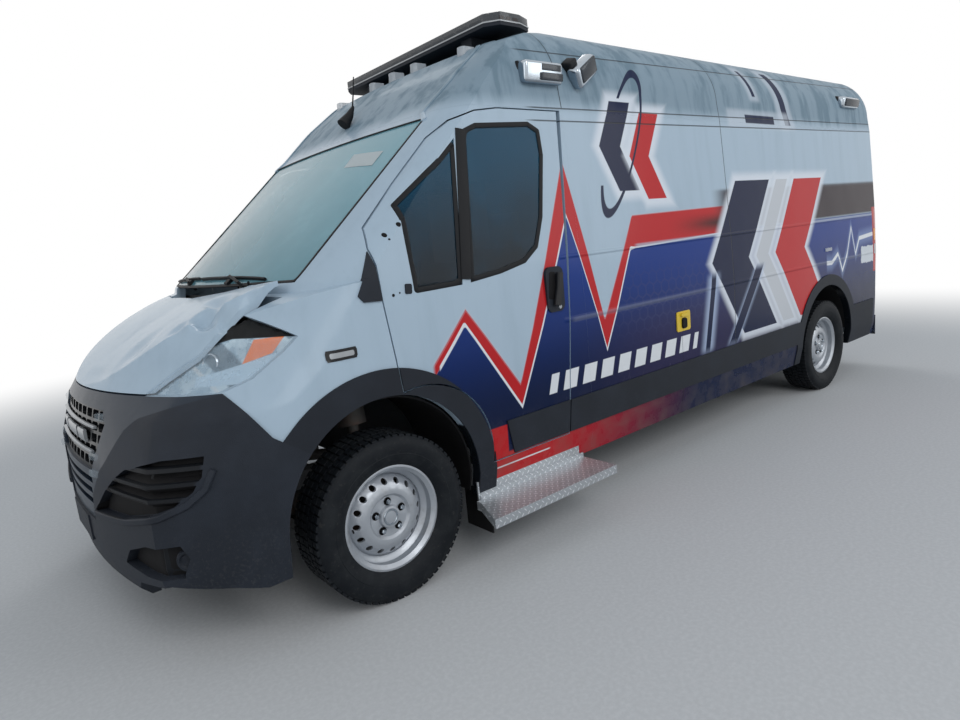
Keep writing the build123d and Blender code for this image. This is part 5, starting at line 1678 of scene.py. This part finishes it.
class AMBULANCE_OT_lamps(bpy.types.Operator):
    """Finish the light bar, roof and side lamps and the tail lamps"""

    bl_idname = "ambulance.lamps"
    bl_label = "Lamps"

    def execute(self, context):
        body = body_of("light_bar")
        skin("light_bar", FINISH["trim"], 30)
        skin("light_bar_lens", FINISH["smoke"], 30, 0.004)
        skin("roof_markers", FINISH["clear"], 50, 0.010)
        skin("tail_lamps", FINISH["red_lens"], 35, 0.003)
        self.bar_modules(body)
        self.tail_bands()
        self.side_lamps(body)
        self.antenna(body)
        return {"FINISHED"}

    def bar_modules(self, body):
        """Lamp modules behind the bar's cover, repeated along it."""
        low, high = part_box("light_bar_lens")
        z = (low.z + high.z) / 2
        rows = []
        for x, y, count in ((high.x - 0.030, low.y + 0.17, 12), (low.x + 0.030, low.y + 0.12, 13)):
            module = block("module", (x, y, z), (0.016, 0.085, 0.022), FINISH["badge"], 0.003)
            rows.append(repeated(module, count, (0, 0, 0), (0, MODULE_PITCH, 0)))
        as_one("bar_modules", rows, body)
        caps = [block("cap", (x, sign * (high.y - 0.022), z), (0.030, 0.010, 0.020),
                      FINISH["amber"], 0.003) for sign in (1, -1) for x in (0.86, 0.905, 0.95)]
        as_one("bar_end_lamps", caps, body)
        corners = [(x, -y, low.z) for x, y in BAR_RIM]
        corners += [(x, y, low.z) for x, y in reversed(BAR_RIM)]
        track = [(point, Vector((0, 0, 1))) for point in evenly(corners, 0.08, True)]
        as_one("bar_rim", [ribbon("rim", track, 0.010, 0.005, FINISH["badge"], None, True)], body)

    def tail_bands(self):
        """Clear and amber fields on the tail lamps."""
        body = body_of("tail_lamps")
        lamps = surface_of("tail_lamps")
        for side, sign in SIDES:
            for name, z, height, finish in TAIL_BANDS:
                ends = (z - height / 2, z + height / 2)
                for where, toward, (x0, y0), (x1, y1) in (
                        ("", (1, 0, 0), (-2.95, 0.962), (-2.95, 1.008)),
                        ("side_", (0, -sign, 0), (-2.935, 1.022), (-2.880, 1.026))):
                    outline = [(x0, y0 * sign, ends[0]), (x1, y1 * sign, ends[0]),
                               (x1, y1 * sign, ends[1]), (x0, y0 * sign, ends[1])]
                    patch(f"tail_{name}_{where}{side}", lamps, outline, toward, FINISH[finish],
                          body, 0.003, 0.02)

    def side_lamps(self, body):
        """Bright housings with lenses in place of the plain lamps high on the sides."""
        parts = {"shell": [], "lens": [], "back": []}
        for sign in (1, -1):
            for kind, x, out, z, size, round_off, tip, turn in SIDE_LAMP_BLOCKS:
                turns = (("X", -tip * sign),) + ((("Y", turn),) if turn else ())
                parts[kind].append(tilted_block(kind, (x, (SIDE_LAMP_Y + out) * sign, z), size,
                                                FINISH[SIDE_LAMP_FINISH[kind]], round_off, turns))
        as_one("side_lamp_housings", parts["shell"], body, "side_lamps")
        as_one("side_lamp_lenses", parts["lens"], body)
        as_one("side_lamp_gaskets", parts["back"], body)

    def antenna(self, body):
        """A stub antenna on its foot over the front of the roof."""
        base = rod("base", [(1.485, 0, 2.135), (1.440, 0, 2.185), (1.412, 0, 2.232)], 0.036,
                   FINISH["rubber"], None, 14, 0.007)
        mast = rod("mast", [(1.418, 0, 2.222), (1.402, 0, 2.30), (1.388, 0, 2.383)], 0.0045,
                   FINISH["rubber"], None, 8, 0.003)
        tree = surface_of("roof_panel", "cab_frame")
        roof = tree.ray_cast(Vector((1.45, 0, 4)), Vector((0, 0, -1)))[0]
        for piece in (base, mast):
            moved(piece, (0, 0, max(roof.z - ANTENNA_FOOT, -DATUM)))
        as_one("antenna", [base, mast], body)


# The tyre: radius inside its bead; its ribs by place, width and share of the pitch; the angle
# that its blocks slant by; and the faces of a block
BEAD = 0.2045
TREAD_RIBS = ((0.0, 0.030, 0.82), (0.040, 0.032, 0.80), (-0.040, 0.032, 0.80),
              (0.0795, 0.030, 0.72), (-0.0795, 0.030, 0.72))
TREAD_SLANT = 0.006
LUG_FACES = [(0, 1, 3, 2), (4, 6, 7, 5), (0, 4, 5, 1), (2, 3, 7, 6), (0, 2, 6, 4), (1, 5, 7, 3)]
# Wheel nuts: how many, and how far from the axle
NUTS, NUT_REACH = 5, 0.065


class AMBULANCE_OT_wheels(bpy.types.Operator):
    """Build the tyres' tread and finish the rims"""

    bl_idname = "ambulance.wheels"
    bl_label = "Wheels"

    def execute(self, context):
        tread = context.scene.ambulance_tyre
        for place in WHEELS:
            node = "tyre_" + place
            low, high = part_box(node)
            centre = (low + high) / 2
            radius = (high.z - low.z) / 2
            base = radius - tread.groove_depth
            half = (high.y - low.y) / 2
            wall = [(0.2215, 0.067), (0.2215, 0.084), (0.232, 0.094), (0.243, 0.101),
                    (0.258, 0.107), (0.272, 0.1108), (0.274, 0.1096), (0.288, half),
                    (radius - 0.045, half - 0.001),
                    (radius - 0.034, 0.1100), (radius - 0.024, 0.1055), (radius - 0.016, 0.100),
                    (base, 0.092)]
            profile = [(BEAD, -0.060), (BEAD, 0.060)] + wall + [(r, -y) for r, y in reversed(wall)]
            parts = [lathe("carcass", profile, (0, 0, 0), FINISH["tyre"], None, 128, 40, True)]
            parts += self.ribs(tread.blocks, base - 0.002, radius)
            tyre = joined("tyre_" + place + "_rubber", parts)
            moved(tyre, centre)
            shade(tyre.data, 30)
            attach(tyre, body_of(node))
            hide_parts(node)
            skin("rim_" + place, FINISH["wheel"], 32, 0.0015)
            self.wheel_fittings(place, centre)
        return {"FINISHED"}

    def ribs(self, blocks, base, radius):
        """Five ribs of slanted tread blocks, staggered by half a pitch."""
        pitch = 2 * pi / blocks
        ribs = []
        for number, (y, width, fill) in enumerate(TREAD_RIBS):
            lug = []
            for r in (base, radius):
                for step in (-0.5, 0.5):
                    for side in (-0.5, 0.5):
                        a = pitch * fill * step + side * TREAD_SLANT * (1 if y >= 0 else -1)
                        lug.append((r * sin(a), y + width * side, r * cos(a)))
            shape = new_piece("lug", lug, LUG_FACES, FINISH["tyre"])
            fix_normals(shape)
            shape.data.transform(Matrix.Rotation(pitch * 0.5 * (number % 2), 4, "Y"))
            ribs.append(repeated(shape, blocks, (0, pitch, 0)))
        return ribs

    def wheel_fittings(self, place, centre):
        """Wheel nuts over painted shade in their pockets, a centre cap ring, and a valve."""
        body = body_of("rim_" + place)
        turn = (0, 2 * pi / NUTS, 0)
        profile = [(0.0, 0.066), (0.0075, 0.066), (0.0105, 0.062), (0.0115, 0.046), (0.0, 0.046)]
        nut = lathe("nut", profile, (0, 0, NUT_REACH), FINISH["bright"], None, 6, 20)
        nuts = repeated(nut, NUTS, turn)
        ring = lathe("ring", [(0.026, 0.0635), (0.028, 0.0665), (0.033, 0.0665), (0.035, 0.0635)],
                     (0, 0, 0), FINISH["bright"], None, 48)
        fittings = joined("fittings", [nuts, ring])
        # Discs of painted shade in the nut pockets
        profile = [(0.0, 0.0455), (0.0165, 0.0455), (0.0168, 0.0500), (0.0172, 0.0455)]
        pocket = lathe("pocket", profile, (0, 0, NUT_REACH), FINISH["shadow"], None, 24)
        pocket_shades = repeated(pocket, NUTS, turn)
        valve = rod("valve", [(0.172, 0.050, 0.0), (0.180, 0.072, 0.0)], 0.004, FINISH["rubber"],
                    None, 8)
        for piece, name in ((fittings, "wheel_nuts_"), (pocket_shades, "nut_pockets_"),
                            (valve, "valve_")):
            piece.name = name + place
            piece.data.name = name + place
            if place.endswith("right"):
                piece.data.transform(Matrix.Scale(-1, 4, (0, 1, 0)))
                fix_normals(piece)
            moved(piece, centre)
            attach(piece, body)


# Seats: their distance from the middle; cushions by name, (x, height), size, crown, pinch and
# lean; frame blocks by name, (x, height), size, rounding and turns
SEAT_Y = 0.52
CUSHIONS = (
    ("seat_cushion_", (1.215, 0.893), (0.42, 0.45, 0.12), 0.30, 0.05, 0),
    ("seat_back_", (0.947, 1.175), (0.50, 0.44, 0.105), 0.30, 0.05, -79),
    ("seat_rest_", (0.870, 1.520), (0.16, 0.20, 0.065), 0.35, 0.08, -79),
)
SEAT_FRAMES = (
    ("base", (1.165, 0.695), (0.44, 0.44, 0.26), 0.02, ()),
    ("pan", (1.185, 0.829), (0.47, 0.46, 0.03), 0.012, ()),
    ("spine", (0.898, 1.130), (0.03, 0.34, 0.50), 0.012, (("Y", -11),)),
)


class AMBULANCE_OT_cabin(bpy.types.Operator):
    """Finish the dashboard and compartment and build the seats"""

    bl_idname = "ambulance.cabin"
    bl_label = "Cabin"

    def execute(self, context):
        finishes = {"dashboard": "inside", "steering_wheel": "inside", "bulkheads": "inside",
                    "furniture": "laminate", "floor_pan": "floor"}
        for node, finish in finishes.items():
            paint_node(node, FINISH[finish])
        body = body_of("seats")
        bases = []
        for side, sign in SIDES:
            y = SEAT_Y * sign
            for name, (x, z), size, crown, pinch, angle in CUSHIONS:
                turn = Matrix.Rotation(radians(angle), 4, "Y") if angle else None
                cushion(name + side, (x, y, z), size, crown, pinch, FINISH["cloth"], body, turn)
            for name, (x, z), size, round_off, turns in SEAT_FRAMES:
                bases.append(tilted_block(name, (x, y, z), size, FINISH["inside"], round_off,
                                          turns))
            for offset in (-0.05, 0.05):
                post = [placed((0.905, y + offset, 1.40)), placed((0.880, y + offset, 1.47))]
                bases.append(rod("post", post, 0.006, FINISH["inside"], None, 8))
        as_one("seat_frames", bases, body, "seats")
        return {"FINISHED"}


class AMBULANCE_OT_underbody(bpy.types.Operator):
    """Finish the axles, frame, exhaust and steps"""

    bl_idname = "ambulance.underbody"
    bl_label = "Underbody and steps"

    def execute(self, context):
        finishes = {"wheel_liners": "wheel_well", "front_subframe": "chassis",
                    "front_struts": "iron", "rear_axle": "iron", "engine": "iron",
                    "front_carrier": "chassis",
                    "fuel_tank": "trim", "exhaust": "exhaust", "knuckle_left": "iron",
                    "knuckle_right": "iron", "steps": "tread"}
        for node, finish in finishes.items():
            paint_node(node, FINISH[finish])
        risers = [tilted_block("riser", (1.27, sign * 0.992, 0.362), (0.68, 0.010, 0.085),
                               FINISH["tread"], 0.002) for sign in (1, -1)]
        as_one("step_risers", risers, body_of("steps"))
        return {"FINISHED"}


# The photograph's camera: place; yaw, pitch and roll in degrees; focal length in its pixels
CAMERA_PLACE = (3.3192, 3.2101, 1.4751)
CAMERA_ANGLES = (-129.0365, -10.4171, -5.6460)
CAMERA_FOCAL = 655.37
PHOTO_WIDTH, SENSOR_WIDTH = 960, 36.0
# Soft lights: name, place, size and power; all look at a point over the middle of the floor
STUDIO_LAMPS = (("key", (3.0, 9.5, 7.0), 5.0, 300.0), ("fill", (-6.0, 9.0, 4.5), 6.0, 200.0),
                ("back", (-5.0, -8.0, 8.0), 5.0, 200.0), ("front", (9.0, 1.0, 4.0), 5.0, 70.0))
LAMP_AIM = Vector((0, 0, 1.2))
FLOOR_REACH = 60.0


class AMBULANCE_OT_stage(bpy.types.Operator):
    """Set the floor, lights and camera"""

    bl_idname = "ambulance.stage"
    bl_label = "Stage"

    def execute(self, context):
        scene = context.scene
        scene.view_settings.view_transform = "Standard"
        self.floor()
        self.surroundings(scene)
        for name, place, size, power in STUDIO_LAMPS:
            lamp = bpy.data.lights.new(name, "AREA")
            lamp.size = size
            lamp.energy = power
            holder = bpy.data.objects.new(name, lamp)
            holder.location = place
            aim = LAMP_AIM - Vector(place)
            holder.rotation_euler = aim.to_track_quat("-Z", "Y").to_euler()
            scene.collection.objects.link(holder)
        self.camera(scene)
        return {"FINISHED"}

    def seen_rays(self, f):
        """1 for rays that show the background: seen straight, mirrored or through glass."""
        rays = f.node("ShaderNodeLightPath")
        seen = Term(f, rays.outputs["Is Camera Ray"])
        for name in ("Is Glossy Ray", "Is Transmission Ray"):
            seen = seen.most(Term(f, rays.outputs[name]))
        return seen

    def surroundings(self, scene):
        """A white background over a soft, slightly cool light."""
        f = Finish("studio", True)
        soft = f.node("ShaderNodeBackground", None, {"Color": (0.86, 0.93, 1.0), "Strength": 0.46})
        white = f.node("ShaderNodeBackground", None, {"Color": (1.0, 1.0, 1.0), "Strength": 1.0})
        both = f.node("ShaderNodeMixShader", None,
                      {0: self.seen_rays(f), 1: soft.outputs[0], 2: white.outputs[0]})
        f.node("ShaderNodeOutputWorld", None, {"Surface": both.outputs[0]})
        scene.world = f.material

    def floor(self):
        """A wide pale floor that keeps the van's shadow and fades to white far away."""
        f = Finish("pale_floor")
        x, y = f.place()[:2]
        far = ((x * x + y * y) ** 0.5).step(4.2, 9.0)
        speck = f.noise(60.0, 3.0).step(0.3, 0.8)
        tint = f.mix(speck, (0.58, 0.59, 0.60), (0.64, 0.65, 0.66))
        plain = f.node("ShaderNodeBsdfDiffuse", None, {"Color": tint})
        white = f.node("ShaderNodeEmission", None, {"Color": (1.0, 1.0, 1.0), "Strength": 1.0})
        both = f.node("ShaderNodeMixShader", None,
                      {0: far * self.seen_rays(f), 1: plain.outputs[0], 2: white.outputs[0]})
        f.node("ShaderNodeOutputMaterial", None, {"Surface": both.outputs[0]})
        corners = [(u * FLOOR_REACH, v * FLOOR_REACH, 0)
                   for u, v in ((-1, -1), (1, -1), (1, 1), (-1, 1))]
        floor = new_piece("floor", corners, [(0, 1, 2, 3)], f.material)

    def camera(self, scene):
        """The photograph's camera."""
        yaw, pitch, roll = (radians(angle) for angle in CAMERA_ANGLES)
        ahead = Vector((cos(pitch) * cos(yaw), cos(pitch) * sin(yaw), sin(pitch)))
        right = ahead.cross(Vector((0, 0, 1))).normalized()
        up = right.cross(ahead)
        right_rolled = right * cos(roll) + up * sin(roll)
        up_rolled = up * cos(roll) - right * sin(roll)
        data = bpy.data.cameras.new("camera")
        data.sensor_fit = "HORIZONTAL"
        data.sensor_width = SENSOR_WIDTH
        data.lens = SENSOR_WIDTH * CAMERA_FOCAL / PHOTO_WIDTH
        camera = bpy.data.objects.new("camera", data)
        matrix = Matrix((right_rolled, up_rolled, -ahead)).transposed().to_4x4()
        matrix.translation = placed(CAMERA_PLACE)
        camera.matrix_world = matrix
        scene.collection.objects.link(camera)
        scene.camera = camera


class AMBULANCE_PT_panel(bpy.types.Panel):
    """The van's pieces in the sidebar"""

    bl_label = "Ambulance"
    bl_space_type = "VIEW_3D"
    bl_region_type = "UI"
    bl_category = "Ambulance"

    def draw(self, context):
        for group in (context.scene.ambulance_look, context.scene.ambulance_tyre):
            for name in group.__annotations__:
                self.layout.prop(group, name)
        for operator in OPERATORS:
            self.layout.operator(operator.bl_idname)


OPERATORS = (
    AMBULANCE_OT_bodywork,
    AMBULANCE_OT_glazing,
    AMBULANCE_OT_nose,
    AMBULANCE_OT_trim,
    AMBULANCE_OT_lamps,
    AMBULANCE_OT_wheels,
    AMBULANCE_OT_cabin,
    AMBULANCE_OT_underbody,
    AMBULANCE_OT_stage,
)
CLASSES = (AmbulanceLook, TyreLook, *OPERATORS, AMBULANCE_PT_panel)


def register():
    for item in CLASSES:
        bpy.utils.register_class(item)
    bpy.types.Scene.ambulance_look = bpy.props.PointerProperty(type=AmbulanceLook)
    bpy.types.Scene.ambulance_tyre = bpy.props.PointerProperty(type=TyreLook)


def unregister():
    del bpy.types.Scene.ambulance_tyre
    del bpy.types.Scene.ambulance_look
    for item in reversed(CLASSES):
        bpy.utils.unregister_class(item)


def main():
    """Builds every piece in order."""
    register()
    FINISH.update(make_finishes(bpy.context.scene.ambulance_look))
    for operator in OPERATORS:
        group, name = operator.bl_idname.split(".")
        getattr(getattr(bpy.ops, group), name)()


if __name__ == "__main__":
    main()
